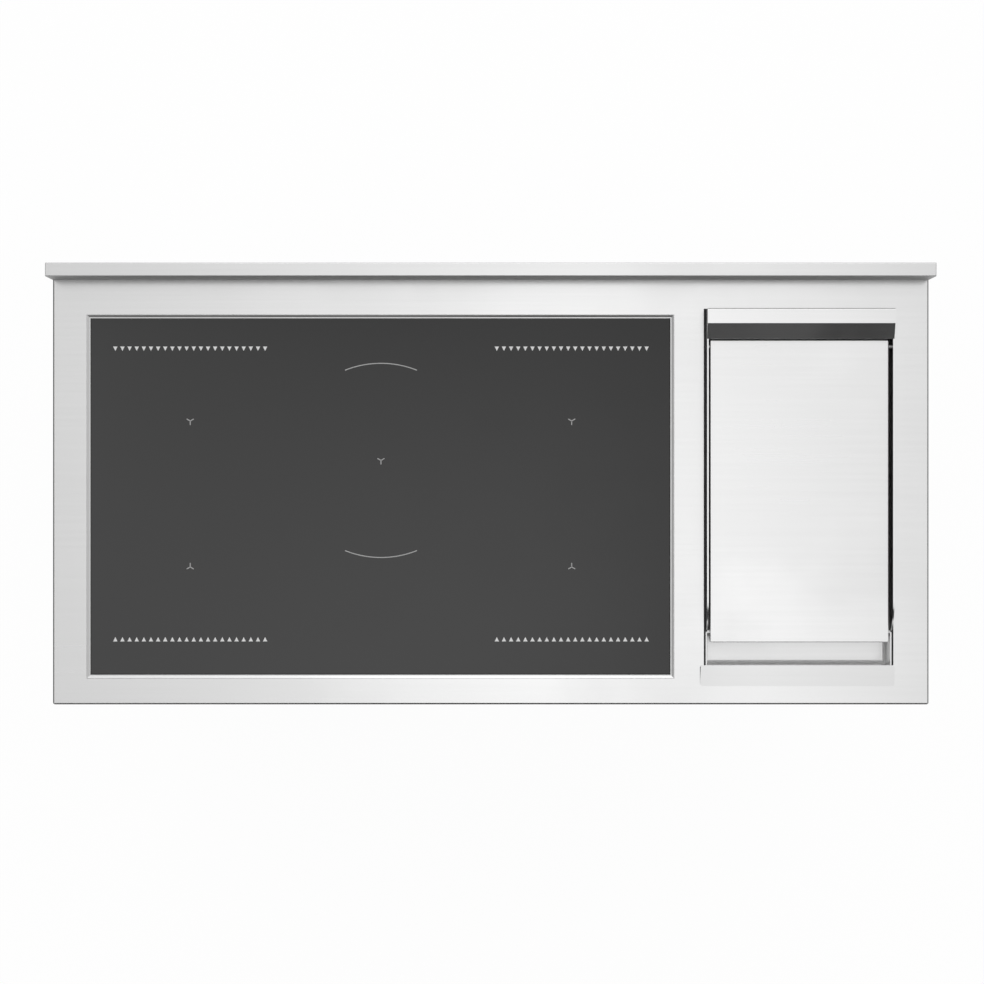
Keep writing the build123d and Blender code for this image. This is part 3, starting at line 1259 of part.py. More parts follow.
def main():
    """Builds every piece of the cooker and writes its STEP file."""
    build_worktop()
    build_backguard()
    build_glass_frame()
    build_ceramic_glass()
    build_induction_coils()
    build_induction_tray()
    build_induction_boards()
    build_cooling_fan()
    build_griddle_tub()
    build_splash_guard()
    build_griddle_plate()
    build_griddle_elements()
    build_griddle_lid()
    build_lid_hinge_pins()
    build_side_panel(-1, "left_side_panel")
    build_side_panel(1, "right_side_panel")
    build_rear_panel()
    build_panel_screws()
    build_base_frame()
    build_oven_divider()
    build_front_frame()
    build_oven_cavity("main_oven_cavity", MAIN_OVEN_X, has_fan=True)
    build_oven_cavity("second_oven_cavity", SECOND_OVEN_X, has_fan=False)
    build_oven_insulation()
    build_shelf_rails()
    build_oven_shelves()
    build_oven_elements()
    build_fan_cover()
    build_oven_fan()
    build_fan_motor()
    build_door_gaskets()
    build_door("main", MAIN_DOOR_X)
    build_door("second", SECOND_DOOR_X)
    door_handle_z = DOOR_TOP - HANDLE_DROP
    build_handle("main_door_handle", grow(MAIN_DOOR_X, -HANDLE_INSET), door_handle_z)
    build_handle("second_door_handle", grow(SECOND_DOOR_X, -HANDLE_INSET), door_handle_z)
    drawer_handle_z = DRAWER_TOP - DRAWER_HANDLE_DROP
    build_handle("drawer_handle", grow((-FACE_X, FACE_X), -HANDLE_INSET), drawer_handle_z)
    build_drawer()
    build_drawer_runners()
    build_legs()
    build_plinth()
    build_control_panel()
    build_clock_display()
    build_control_switches()
    build_dial_rings()
    build_knobs()
    build_terminal_box()


main()
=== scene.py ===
import logging
import math
from dataclasses import dataclass, field
from enum import Enum
from functools import reduce
from itertools import product
from typing import Callable, Iterable

import bmesh
import bpy
from mathutils import Matrix, Vector


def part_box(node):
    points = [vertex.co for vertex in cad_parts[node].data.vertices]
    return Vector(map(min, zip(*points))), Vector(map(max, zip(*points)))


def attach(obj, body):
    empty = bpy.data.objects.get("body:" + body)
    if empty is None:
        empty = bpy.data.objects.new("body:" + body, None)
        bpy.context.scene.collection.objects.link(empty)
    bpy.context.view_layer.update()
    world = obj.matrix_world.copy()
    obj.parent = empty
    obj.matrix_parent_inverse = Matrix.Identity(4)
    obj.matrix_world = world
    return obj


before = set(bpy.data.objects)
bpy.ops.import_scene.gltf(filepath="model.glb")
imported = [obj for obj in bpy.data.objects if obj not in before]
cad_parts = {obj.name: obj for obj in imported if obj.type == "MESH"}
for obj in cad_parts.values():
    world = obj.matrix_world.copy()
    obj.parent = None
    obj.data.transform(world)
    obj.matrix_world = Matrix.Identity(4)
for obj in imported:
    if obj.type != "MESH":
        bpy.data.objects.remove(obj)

LOG = logging.getLogger("range_cooker")
MM = 0.001

Colour = tuple[float, float, float]
Paint = tuple[float, float, float, float]
Way = tuple[float, float, float]
Spot = tuple[float, float]
Span = tuple[float, float]
Socket = bpy.types.NodeSocket

RISING: Span = (0.0, 1.0)
FALLING: Span = (1.0, 0.0)
RIGHT: Way = (1.0, 0.0, 0.0)
BACK: Way = (0.0, 1.0, 0.0)
UP: Way = (0.0, 0.0, 1.0)
ENDS = (-1, 1)


class GrainAxis(Enum):
    """The direction that a steel sheet was brushed in. Faces square to it are brushed across."""

    WIDTH = RIGHT
    DEPTH = BACK


class Effect(Enum):
    """The shared effects, by the names of their node groups."""

    GRAIN = "brushed_grain"
    MOTTLE = "mottled_handling"
    WEAR = "rubbed_edges"
    FLECKS = "scattered_flecks"


class Graph:
    """Adds and joins the nodes of one node tree."""

    def __init__(self, tree: bpy.types.NodeTree) -> None:
        """Starts an empty graph.

        Args:
            tree: The node tree to fill.
        """
        self.tree = tree
        tree.nodes.clear()

    def add(self, kind: str, inputs: dict | None = None, **settings: object) -> bpy.types.Node:
        """Adds a node.

        Args:
            kind: The node's type name.
            inputs: Values or output sockets for its inputs, by name or number.
            settings: Values for its own properties.

        Returns:
            The new node.
        """
        node = self.tree.nodes.new(kind)
        for name, value in settings.items():
            setattr(node, name, value)
        for name, value in (inputs or {}).items():
            self.feed(node.inputs[name], value)
        return node

    def feed(self, into: Socket, value: object) -> None:
        """Links an output to an input, or writes a plain value in it.

        Args:
            into: The input socket.
            value: An output socket, a number or a sequence.
        """
        if isinstance(value, Socket):
            self.tree.links.new(value, into)
        else:
            into.default_value = value

    def maths(self, operation: str, *values: object, clamp: bool = False) -> Socket:
        """Adds a Math node.

        Args:
            operation: The operation's name.
            values: Its numbers or output sockets.
            clamp: Whether the result stays between 0 and 1.

        Returns:
            The result's socket.
        """
        inputs = dict(enumerate(values))
        return self.add("ShaderNodeMath", inputs, operation=operation, use_clamp=clamp).outputs[0]

    def total(self, *values: object) -> Socket:
        """Returns the socket of the sum of two values or more."""
        return reduce(lambda so_far, value: self.maths("ADD", so_far, value), values)

    def vector(self, operation: str, *values: object) -> Socket:
        """Adds a Vector Math node.

        Args:
            operation: The operation's name.
            values: Its vectors or output sockets.

        Returns:
            The result's socket, which holds a number for a dot product or a distance.
        """
        node = self.add("ShaderNodeVectorMath", dict(enumerate(values)), operation=operation)
        return node.outputs["Value" if operation in ("DOT_PRODUCT", "DISTANCE") else "Vector"]

    def spread(self, value: object, span: Span = RISING, onto: Span = RISING) -> Socket:
        """Maps a value smoothly from one range to another, and holds it inside.

        Args:
            value: The number's socket.
            span: The start and the end of its range.
            onto: What these two become.

        Returns:
            The mapped value's socket.
        """
        ends = {"From Min": span[0], "From Max": span[1], "To Min": onto[0], "To Max": onto[1]}
        node = self.add("ShaderNodeMapRange", {"Value": value, **ends}, interpolation_type="SMOOTHSTEP")
        return node.outputs["Result"]

    def tint(self, factor: object, first: object, second: object) -> Socket:
        """Blends two colours.

        Args:
            factor: How much of the second shows.
            first: The first colour or its socket.
            second: The second colour or its socket.

        Returns:
            The blended colour's socket.
        """
        inputs = {"Factor": factor, 6: first, 7: second}
        return self.add("ShaderNodeMix", inputs, data_type="RGBA").outputs[2]

    def noise(self, scale: object, detail: float, place: Socket | None = None) -> Socket:
        """Adds a noise texture.

        Args:
            scale: The texture's scale or its socket.
            detail: Its octaves.
            place: The socket of the point to look up, if not the one on the object.

        Returns:
            The noise's value socket.
        """
        inputs = {"Vector": place or self.place(), "Scale": scale, "Detail": detail}
        return self.add("ShaderNodeTexNoise", inputs).outputs[0]

    def cells(self, scale: object, distance: str = "EUCLIDEAN") -> bpy.types.NodeOutputs:
        """Adds a cell texture on the object and returns its outputs."""
        inputs = {"Vector": self.place(), "Scale": scale}
        return self.add("ShaderNodeTexVoronoi", inputs, distance=distance).outputs

    def place(self) -> Socket:
        """Returns the socket of the point on the object, in metres."""
        return self.add("ShaderNodeTexCoord").outputs["Object"]

    def normal(self) -> Socket:
        """Returns the socket of the way that the flat face looks."""
        return self.add("ShaderNodeNewGeometry").outputs["True Normal"]


def white(level: float, warm: float = 0.0) -> Paint:
    """Returns a grey whose red gains, and whose blue loses, a warm share."""
    return (level + warm, level, level - warm, 1.0)


def opaque(colour: Colour, share: float = 1.0, lift: float = 0.0) -> Paint:
    """Returns a colour with its alpha of one, made darker or lighter."""
    return (*(channel * share + lift for channel in colour), 1.0)


@dataclass
class EffectShelf:
    """Builds each shared node group once and places it in materials."""

    lines_across: float = 900.0
    lines_along: float = 14.0
    broad_lines: float = 0.22
    broad_height: float = 0.5
    line_contrast: Span = (0.3, 0.7)
    turned_from: float = 0.7
    patch_contrast: Span = (0.35, 0.65)
    edge_sharpness: Span = (0.8, 0.995)
    rub_scale: float = 180.0
    rub_contrast: Span = (0.4, 0.6)
    rub_share: Span = (0.35, 1.0)
    fleck_reach: float = 1.6
    fleck_pick: float = 0.55
    groups: dict[Effect, bpy.types.NodeTree] = field(default_factory=dict)

    def use(self, graph: Graph, effect: Effect, inputs: dict[str, object]) -> bpy.types.NodeOutputs:
        """Places an effect in a material.

        Args:
            graph: The material's graph.
            effect: Which effect.
            inputs: Its input values by name.

        Returns:
            The outputs of the group's node.
        """
        if effect not in self.groups:
            builders: dict[Effect, Callable[[], bpy.types.NodeTree]] = {
                Effect.GRAIN: self._grain,
                Effect.MOTTLE: self._mottle,
                Effect.WEAR: self._wear,
                Effect.FLECKS: self._flecks,
            }
            self.groups[effect] = builders[effect]()
        return graph.add("ShaderNodeGroup", inputs, node_tree=self.groups[effect]).outputs

    @staticmethod
    def _group(effect: Effect, inputs: dict[str, object], outputs: Iterable[str]) -> tuple:
        """Makes an empty node group with its sockets.

        Args:
            effect: Which effect it is for.
            inputs: Each input's first value by name, a number or a vector.
            outputs: The names of its value outputs.

        Returns:
            The graph, the sockets that it is given and the sockets that it makes.
        """
        tree = bpy.data.node_groups.new(effect.value, "ShaderNodeTree")
        for name, value in inputs.items():
            kind = "NodeSocketVector" if isinstance(value, tuple) else "NodeSocketFloat"
            tree.interface.new_socket(name, in_out="INPUT", socket_type=kind).default_value = value
        for name in outputs:
            tree.interface.new_socket(name, in_out="OUTPUT", socket_type="NodeSocketFloat")
        graph = Graph(tree)
        return graph, graph.add("NodeGroupInput").outputs, graph.add("NodeGroupOutput").inputs

    def _grain(self) -> bpy.types.NodeTree:
        """Returns the group of fine lines that a brushing belt leaves in steel."""
        first = {"Along": GrainAxis.WIDTH.value}
        graph, given, made = self._group(Effect.GRAIN, first, ("Height", "Streak"))
        along = graph.add("ShaderNodeSeparateXYZ", {0: given["Along"]}).outputs
        across = graph.add("ShaderNodeCombineXYZ", {"X": along["Y"], "Y": along["X"]}).outputs[0]
        facing = graph.maths("ABSOLUTE", graph.vector("DOT_PRODUCT", graph.normal(), given["Along"]))
        square = graph.maths("GREATER_THAN", facing, self.turned_from)
        way = {"Factor": square, 4: given["Along"], 5: across}
        run = graph.add("ShaderNodeMix", way, data_type="VECTOR").outputs[1]
        longer, fine = (self.lines_along - self.lines_across,) * 3, (self.lines_across,) * 3
        scales = graph.vector("MULTIPLY_ADD", run, longer, fine)
        stretched = graph.vector("MULTIPLY", graph.place(), scales)
        broad = graph.noise(self.broad_lines, 2.0, stretched)
        height = graph.maths("MULTIPLY", broad, self.broad_height)
        graph.feed(made["Height"], graph.total(graph.noise(1.0, 4.0, stretched), height))
        graph.feed(made["Streak"], graph.spread(broad, self.line_contrast))
        return graph.tree

    def _mottle(self) -> bpy.types.NodeTree:
        """Returns the group of soft patches that handling and cleaning leave."""
        graph, given, made = self._group(Effect.MOTTLE, {"Scale": 5.0}, ("Mask",))
        graph.feed(made["Mask"], graph.spread(graph.noise(given["Scale"], 5.0), self.patch_contrast))
        return graph.tree

    def _wear(self) -> bpy.types.NodeTree:
        """Returns the group that finds edges, where hands and cloths rub the finish."""
        graph, given, made = self._group(Effect.WEAR, {"Reach": 0.0008}, ("Mask",))
        rounded = graph.add("ShaderNodeBevel", {"Radius": given["Reach"]}, samples=4).outputs[0]
        shaded = graph.add("ShaderNodeNewGeometry").outputs["Normal"]
        edge = graph.spread(graph.vector("DOT_PRODUCT", rounded, shaded), self.edge_sharpness, FALLING)
        broken = graph.spread(graph.noise(self.rub_scale, 4.0), self.rub_contrast, self.rub_share)
        graph.feed(made["Mask"], graph.maths("MULTIPLY", edge, broken, clamp=True))
        return graph.tree

    def _flecks(self) -> bpy.types.NodeTree:
        """Returns the group of small scattered specks, as in enamel or textured paint."""
        first = {"Scale": 900.0, "Share": 0.2}
        graph, given, made = self._group(Effect.FLECKS, first, ("Mask", "Height"))
        cells = graph.cells(given["Scale"])
        reach = graph.maths("MULTIPLY", given["Share"], self.fleck_reach)
        inside = graph.maths("LESS_THAN", cells["Distance"], reach)
        drawn = graph.vector("DOT_PRODUCT", cells["Color"], RIGHT)
        picked = graph.maths("GREATER_THAN", drawn, self.fleck_pick)
        graph.feed(made["Mask"], graph.maths("MULTIPLY", inside, picked))
        graph.feed(made["Height"], graph.maths("SUBTRACT", 1.0, cells["Distance"]))
        return graph.tree


EFFECTS = EffectShelf()


class Coat(Graph):
    """The graph of one material, with its shader."""

    def __init__(self, tree: bpy.types.NodeTree) -> None:
        """Starts with a shader that is joined to the material's output.

        Args:
            tree: The material's node tree.
        """
        super().__init__(tree)
        self.shader = self.add("ShaderNodeBsdfPrincipled")
        self.add("ShaderNodeOutputMaterial", {"Surface": self.shader.outputs[0]})

    def give(self, name: str, value: object) -> None:
        """Feeds one of the shader's inputs with a value or a socket."""
        self.feed(self.shader.inputs[name], value)

    def colour(self, mask: Socket, first: object, second: object) -> None:
        """Gives a base colour that changes with a mask."""
        self.give("Base Color", self.tint(mask, first, second))

    def gloss(self, mask: Socket, onto: Span) -> None:
        """Gives a roughness that changes with a mask."""
        self.give("Roughness", self.spread(mask, onto=onto))

    def effect(self, effect: Effect, **inputs: object) -> bpy.types.NodeOutputs:
        """Places a shared effect and returns its outputs."""
        return EFFECTS.use(self, effect, inputs)

    def patches(self, scale: float) -> Socket:
        """Returns the mask of soft patches."""
        return self.effect(Effect.MOTTLE, Scale=scale)["Mask"]

    def edges(self, reach: float) -> Socket:
        """Returns the mask of rubbed edges."""
        return self.effect(Effect.WEAR, Reach=reach)["Mask"]

    def bump(self, height: Socket, depth: float, strength: float = 1.0) -> None:
        """Presses a height pattern into the surface.

        Args:
            height: The pattern's socket.
            depth: The relief in metres between values 0 and 1.
            strength: How much of it shows.
        """
        inputs = {"Strength": strength, "Distance": depth, "Height": height}
        self.give("Normal", self.add("ShaderNodeBump", inputs).outputs["Normal"])


BUILT: dict[str, bpy.types.Material] = {}


@dataclass(frozen=True)
class Finish:
    """A surface finish. A subclass says how it fills the shader."""

    name: str

    def material(self) -> bpy.types.Material:
        """Returns the finish's material, built on first use."""
        if self.name not in BUILT:
            made = bpy.data.materials.new(self.name)
            made.use_nodes = True
            self.fill(Coat(made.node_tree))
            BUILT[self.name] = made
        return BUILT[self.name]

    def fill(self, coat: Coat) -> None:
        """Sets the shader's sockets. A subclass gives this."""
        raise NotImplementedError


@dataclass(frozen=True)
class BrushedSteel(Finish):
    """Stainless sheet with fine parallel lines and rubbed edges.

    Where it stands upright it may get a darker tone, which is painted shade, and a higher roughness. On
    the rounding of a folded edge a share of its tone below 1 is painted shade and one above 1 is painted
    light, and it may turn matt there.
    """

    tone: float = 0.74
    roughness: float = 0.3
    axis: GrainAxis = GrainAxis.WIDTH
    warm: float = 0.0
    # Share of the tone on upright faces: painted shade, darker sides by how light falls.
    upright: float = 1.0
    upright_gloss: float = 0.0
    # Share of the tone on a folded edge's rounding: painted shade below 1, painted light above 1.
    fold: float = 1.0
    fold_matt: float = 0.0
    fold_gloss: float = 0.4
    depth: float = 0.000004
    streak: float = 0.982
    streak_gloss: float = 0.004
    patch_scale: float = 3.0
    patch_gloss: float = 0.05
    edge_reach: float = 0.0006
    edge_tone: float = 1.12
    level_tilt: Span = (0.3, 0.85)
    leaving_tilt: Span = (0.02, 0.1)
    arriving_tilt: Span = (0.88, 0.985)

    def steel(self, share: float = 1.0) -> Paint:
        """Returns a share of the steel's own tone."""
        return white(self.tone * share, self.warm)

    def fill(self, coat: Coat) -> None:
        """Sets a metal whose tone and gloss follow the brushing, with painted shade and painted light by
        how each face tilts.

        Args:
            coat: The material's graph.
        """
        grain = coat.effect(Effect.GRAIN, Along=self.axis.value)
        gloss = coat.spread(
            coat.patches(self.patch_scale), onto=(self.roughness, self.roughness + self.patch_gloss)
        )
        shade = coat.tint(grain["Streak"], self.steel(self.streak), self.steel())
        tilt = coat.maths("ABSOLUTE", coat.vector("DOT_PRODUCT", coat.normal(), UP))
        # Painted shade: upright faces get a darker share of the tone.
        if self.upright < 1.0:
            shade = coat.tint(coat.spread(tilt, self.level_tilt), self.steel(self.upright), shade)
        leaving = coat.spread(tilt, self.leaving_tilt)
        folded = coat.maths("MULTIPLY", leaving, coat.spread(tilt, self.arriving_tilt, FALLING))
        # The rounding of a folded edge gets painted shade from a share below 1 and painted light from one
        # above 1.
        if self.fold != 1.0:
            shade = coat.tint(folded, shade, self.steel(self.fold))
        coat.colour(coat.edges(self.edge_reach), shade, white(min(1.0, self.tone * self.edge_tone)))
        coat.give("Metallic", 1.0)
        if self.upright_gloss:
            gloss = coat.total(gloss, coat.spread(tilt, self.level_tilt, (self.upright_gloss, 0.0)))
        if self.fold_matt:
            coat.give("Metallic", coat.spread(folded, onto=(1.0, 1.0 - self.fold_matt)))
            gloss = coat.total(gloss, coat.spread(folded, onto=(0.0, self.fold_matt * self.fold_gloss)))
        coat.give("Roughness", coat.maths("MULTIPLY_ADD", grain["Streak"], self.streak_gloss, gloss))
        coat.bump(grain["Height"], self.depth)


class Pattern(Enum):
    """What the second tone of a coating follows."""

    PATCHES = "soft patches of handling"
    SPECKS = "small scattered specks"
    CRYSTALS = "whole crystals of zinc"
    TRACKS = "the tracks of a circuit"


@dataclass(frozen=True)
class Relief:
    """A fine relief in a surface. It is pebbled where it has no octaves."""

    scale: float
    depth: float
    strength: float = 1.0
    octaves: float = 0.0

    def press(self, coat: Coat) -> None:
        """Presses the relief into a material.

        Args:
            coat: The material's graph.
        """
        if self.octaves:
            height = coat.noise(self.scale, self.octaves)
        else:
            height = coat.effect(Effect.FLECKS, Scale=self.scale)["Height"]
        coat.bump(height, self.depth, self.strength)


@dataclass(frozen=True)
class Coating(Finish):
    """A finish of one or two tones, with its gloss, its rubbed edges and its relief."""

    tone: Paint
    second: Paint | None = None
    pattern: Pattern = Pattern.PATCHES
    scale: float = 1.0
    share: float = 0.1
    track_span: Span = (0.25, 0.4)
    gloss: Span | float = 0.5
    gloss_scale: float | None = None
    metallic: float = 0.0
    through: float = 0.0
    ior: float = 1.5
    rubbed: Paint | None = None
    edge_reach: float = 0.0009
    relief: Relief | None = None

    def mask(self, coat: Coat) -> Socket:
        """Builds the pattern of the second tone.

        Args:
            coat: The material's graph.

        Returns:
            The socket of its mask.
        """
        if self.pattern is Pattern.PATCHES:
            return coat.patches(self.scale)
        if self.pattern is Pattern.SPECKS:
            return coat.effect(Effect.FLECKS, Scale=self.scale, Share=self.share)["Mask"]
        if self.pattern is Pattern.CRYSTALS:
            return coat.vector("DOT_PRODUCT", coat.cells(self.scale)["Color"], (0.5, 0.5, 0.0))
        return coat.spread(coat.cells(self.scale, "MANHATTAN")["Distance"], self.track_span)

    def fill(self, coat: Coat) -> None:
        """Sets the tones, the gloss and the relief.

        Args:
            coat: The material's graph.
        """
        mask, shade = None, self.tone
        if self.second:
            mask = self.mask(coat)
            shade = coat.tint(mask, self.tone, self.second)
        if self.rubbed:
            shade = coat.tint(coat.edges(self.edge_reach), shade, self.rubbed)
        coat.give("Base Color", shade)
        coat.give("Metallic", self.metallic)
        coat.give("Transmission Weight", self.through)
        coat.give("IOR", self.ior)
        if isinstance(self.gloss, float):
            coat.give("Roughness", self.gloss)
        else:
            coat.gloss(coat.patches(self.gloss_scale) if self.gloss_scale else mask, self.gloss)
        if self.relief:
            self.relief.press(coat)


def bright_metal(name: str, tone: float, roughness: float) -> Coating:
    """Returns polished or plated metal with faint handling marks."""
    marked = white(tone * 0.93)
    return Coating(name, white(tone), marked, scale=30.0, gloss=(roughness, roughness * 1.6), metallic=1.0)


def powder_coat(name: str, colour: Colour, roughness: float) -> Coating:
    """Returns paint with a fine pebbled relief, rubbed lighter on its edges."""
    return Coating(
        name,
        opaque(colour),
        opaque(colour, 1.18),
        scale=4.0,
        gloss=(roughness, roughness + 0.08),
        rubbed=opaque((0.11, 0.11, 0.115)),
        relief=Relief(850.0, 0.00025, 0.5),
    )


def moulded(name: str, colour: Colour, roughness: float) -> Coating:
    """Returns plastic or rubber with scuffed edges and a fine spark-eroded texture."""
    return Coating(
        name,
        opaque(colour),
        gloss=(roughness, roughness + 0.12),
        gloss_scale=40.0,
        rubbed=opaque(colour, 2.2, 0.01),
        edge_reach=0.0007,
        relief=Relief(2600.0, 0.00006, 0.6, octaves=2.0),
    )


def ink(name: str, colour: Colour, roughness: float) -> Coating:
    """Returns ink fired or printed on a surface, with slightly uneven cover."""
    return Coating(name, opaque(colour), opaque(colour, 0.9), scale=400.0, gloss=roughness)


@dataclass(frozen=True)
class HobGlass(Finish):
    """Black ceramic glass with a faint wiped film, and painted light that makes it a shade lighter towards
    one corner.
    """

    centre: Way = (0.0, 0.0, 0.0)
    # The way, the reach and the tones of the painted light across the glass.
    lighter: Way = (-0.8, -0.6, 0.0)
    reach: float = 0.44
    dark: float = 0.001
    light: float = 0.054
    film_scale: float = 7.0
    gloss: Span = (0.07, 0.11)
    ior: float = 1.46

    def fill(self, coat: Coat) -> None:
        """Sets a dark gloss surface whose tone has painted light, lighter towards one corner.

        Args:
            coat: The material's graph.
        """
        # Painted light: the base colour grows lighter along one way across the glass.
        offset = coat.vector("SUBTRACT", coat.place(), self.centre)
        slope = coat.vector("DOT_PRODUCT", offset, self.lighter)
        coat.colour(coat.spread(slope, (-self.reach, self.reach)), white(self.dark), white(self.light))
        coat.gloss(coat.patches(self.film_scale), self.gloss)
        coat.give("IOR", self.ior)


@dataclass(frozen=True)
class LitDigits(Finish):
    """The glowing bars of the clock."""

    colour: Colour = (0.55, 0.85, 1.0)
    strength: float = 0.9
    cover_scale: float = 200.0
    dim_share: float = 0.85
    unlit: float = 0.02
    roughness: float = 0.3

    def fill(self, coat: Coat) -> None:
        """Sets a lit surface whose glow varies slightly along each bar.

        Args:
            coat: The material's graph.
        """
        uneven = coat.patches(self.cover_scale)
        glow = coat.tint(uneven, opaque(self.colour), opaque(self.colour, self.dim_share))
        coat.give("Emission Color", glow)
        coat.give("Emission Strength", self.strength)
        coat.give("Base Color", white(self.unlit))
        coat.give("Roughness", self.roughness)


@dataclass(frozen=True)
class CoilWire(Finish):
    """Varnished copper wire wound flat, seen as fine rings about each coil's centre."""

    centres: tuple[Spot, ...]
    # Darker copper in the grooves between turns: painted shade.
    groove: Colour = (0.2, 0.06, 0.025)
    copper: Colour = (0.62, 0.26, 0.11)
    turns: float = 2400.0
    relief: float = 0.0008
    metallic: float = 0.8
    roughness: float = 0.35

    def fill(self, coat: Coat) -> None:
        """Sets rings about the nearest coil centre, with painted shade in the grooves between turns.

        Args:
            coat: The material's graph.
        """
        flat = coat.vector("MULTIPLY", coat.place(), (1.0, 1.0, 0.0))
        away = [coat.vector("DISTANCE", flat, (x, y, 0.0)) for x, y in self.centres]
        nearest = reduce(lambda least, value: coat.maths("MINIMUM", least, value), away)
        waves = coat.maths("SINE", coat.maths("MULTIPLY", nearest, self.turns))
        lit = coat.spread(waves, (-1.0, 1.0))
        # Painted shade: the grooves between turns get a darker copper.
        coat.colour(lit, opaque(self.groove), opaque(self.copper))
        coat.give("Metallic", self.metallic)
        coat.give("Roughness", self.roughness)
        coat.bump(lit, self.relief)


class MeshMaker:
    """Collects closed shapes that stand on one flat plane, and turns them into a piece."""

    def __init__(self, put: Callable[[float, float], Vector], rise: Vector) -> None:
        """Starts with an empty mesh.

        Args:
            put: What turns a flat point into a place on the plane.
            rise: The way from a shape's base to its top.
        """
        self.mesh = bmesh.new()
        self.put = put
        self.rise = rise

    @classmethod
    def upright(cls, y: float, rise: float) -> "MeshMaker":
        """Returns a maker for points x, z on the upright plane at y, which rises along Y."""
        return cls(lambda x, z: Vector((x, y, z)), Vector((0, rise, 0)))

    @classmethod
    def level(cls, z: float, rise: float) -> "MeshMaker":
        """Returns a maker for points x, y on the level plane at z, which rises along Z."""
        return cls(lambda x, y: Vector((x, y, z)), Vector((0, 0, rise)))

    def loops(self, outline: Iterable[Spot], share: float = 1.0) -> list[list[bmesh.types.BMVert]]:
        """Adds the corners of a shape's base and top.

        Args:
            outline: The corners, in order.
            share: The share of the rise that it has.

        Returns:
            The corners of the base and those of the top.
        """
        points = [self.put(*spot) for spot in outline]
        lifts = (Vector(), self.rise * share)
        return [[self.mesh.verts.new(point + lift) for point in points] for lift in lifts]

    def wall(self, first: list[bmesh.types.BMVert], second: list[bmesh.types.BMVert]) -> None:
        """Adds the closed band of faces between two loops of as many corners."""
        for i in range(len(first)):
            self.mesh.faces.new((first[i - 1], first[i], second[i], second[i - 1]))

    def prism(self, outline: Iterable[Spot], share: float = 1.0) -> None:
        """Adds a closed prism.

        Args:
            outline: The corners of its base, in order.
            share: The share of the rise that it has.
        """
        base, top = self.loops(outline, share)
        self.mesh.faces.new(base[::-1])
        self.mesh.faces.new(top)
        self.wall(base, top)

    def frame_ring(self, inner: Iterable[Spot], outer: Iterable[Spot]) -> None:
        """Adds a closed ring between two outlines of as many points.

        Args:
            inner: The hole's outline.
            outer: The rim's outline.
        """
        hole, rim = self.loops(inner), self.loops(outer)
        order = (hole[0], hole[1], rim[1], rim[0])
        for k, loop in enumerate(order):
            self.wall(order[k - 1], loop)

    def piece(self, name: str, body: str, finish: Finish, slot: str) -> bpy.types.Object:
        """Turns the mesh into a piece of the cooker.

        Args:
            name: The piece's name.
            body: The body that it rides on.
            finish: Its finish.
            slot: The material slot that it belongs to. Not used.

        Returns:
            The piece.
        """
        bmesh.ops.recalc_face_normals(self.mesh, faces=self.mesh.faces)
        made = placed(name, self.mesh)
        made.data.materials.append(finish.material())
        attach(made, body)
        LOG.info("piece %s rides on %s", name, body)
        return made


def placed(name: str, mesh: bmesh.types.BMesh) -> bpy.types.Object:
    """Puts a mesh in the scene, and frees it.

    Args:
        name: The name of its object.
        mesh: The mesh.

    Returns:
        The object.
    """
    data = bpy.data.meshes.new(name)
    mesh.to_mesh(data)
    mesh.free()
    return linked(name, data)


def linked(name: str, data: bpy.types.ID) -> bpy.types.Object:
    """Returns a new object in the scene that holds a mesh, a lamp or a camera."""
    made = bpy.data.objects.new(name, data)
    bpy.context.scene.collection.objects.link(made)
    return made


def dress(finish: Finish, *nodes: str) -> None:
    """Gives construction nodes a finish.

    Args:
        finish: The finish.
        nodes: The nodes' names.
    """
    for name in nodes:
        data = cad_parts[name].data
        data.materials.clear()
        data.materials.append(finish.material())
        LOG.info("node %s has finish %s", name, finish.name)


def middle_of(node: str) -> Spot:
    """Returns a node's middle as seen from the front."""
    low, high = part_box(node)
    return ((low.x + high.x) / 2, (low.z + high.z) / 2)


def clock_spot(centre: Spot, radius: float, angle: float) -> Spot:
    """Returns the point at a distance from a centre, an angle round from straight up."""
    return (centre[0] + radius * math.sin(angle), centre[1] + radius * math.cos(angle))


def disc(centre: Spot, radius: float, sides: int, turn: float = 0.0) -> list[Spot]:
    """Returns the corners of a regular outline, of which the first lies straight up unless turned."""
    return [clock_spot(centre, radius, turn + i * math.tau / sides) for i in range(sides)]


def rectangle(left: float, right: float, low: float, high: float, grown: float = 0.0) -> list[Spot]:
    """Returns the corners of a rectangle that is grown on all its sides."""
    left, right, low, high = left - grown, right + grown, low - grown, high + grown
    return [(left, low), (right, low), (right, high), (left, high)]


def stroke(start: Spot, end: Spot, width: float) -> list[Spot]:
    """Returns the outline of a straight stroke between two points."""
    first, second = Vector(start), Vector(end)
    side = (second - first).orthogonal().normalized() * (width / 2)
    return [tuple(first + side), tuple(first - side), tuple(second - side), tuple(second + side)]


# Finishes
# Painted shade: the worktop's upright skirt is darker, and the rounding of its folded edge is near black.
WORKTOP_STEEL = BrushedSteel("worktop_steel", tone=0.785, roughness=0.22, upright=0.72, fold=0.12)
LID_STEEL = BrushedSteel("lid_steel", tone=0.8, roughness=0.22)
# Painted shade: the backguard's upright faces are darker.
BACKGUARD_STEEL = BrushedSteel(
    "backguard_steel", tone=0.755, roughness=0.22, upright=0.5, upright_gloss=0.3
)
# Painted shade: the splash guard's upright faces are darker.
GUARD_STEEL = BrushedSteel("guard_steel", tone=0.78, roughness=0.16, upright=0.4)
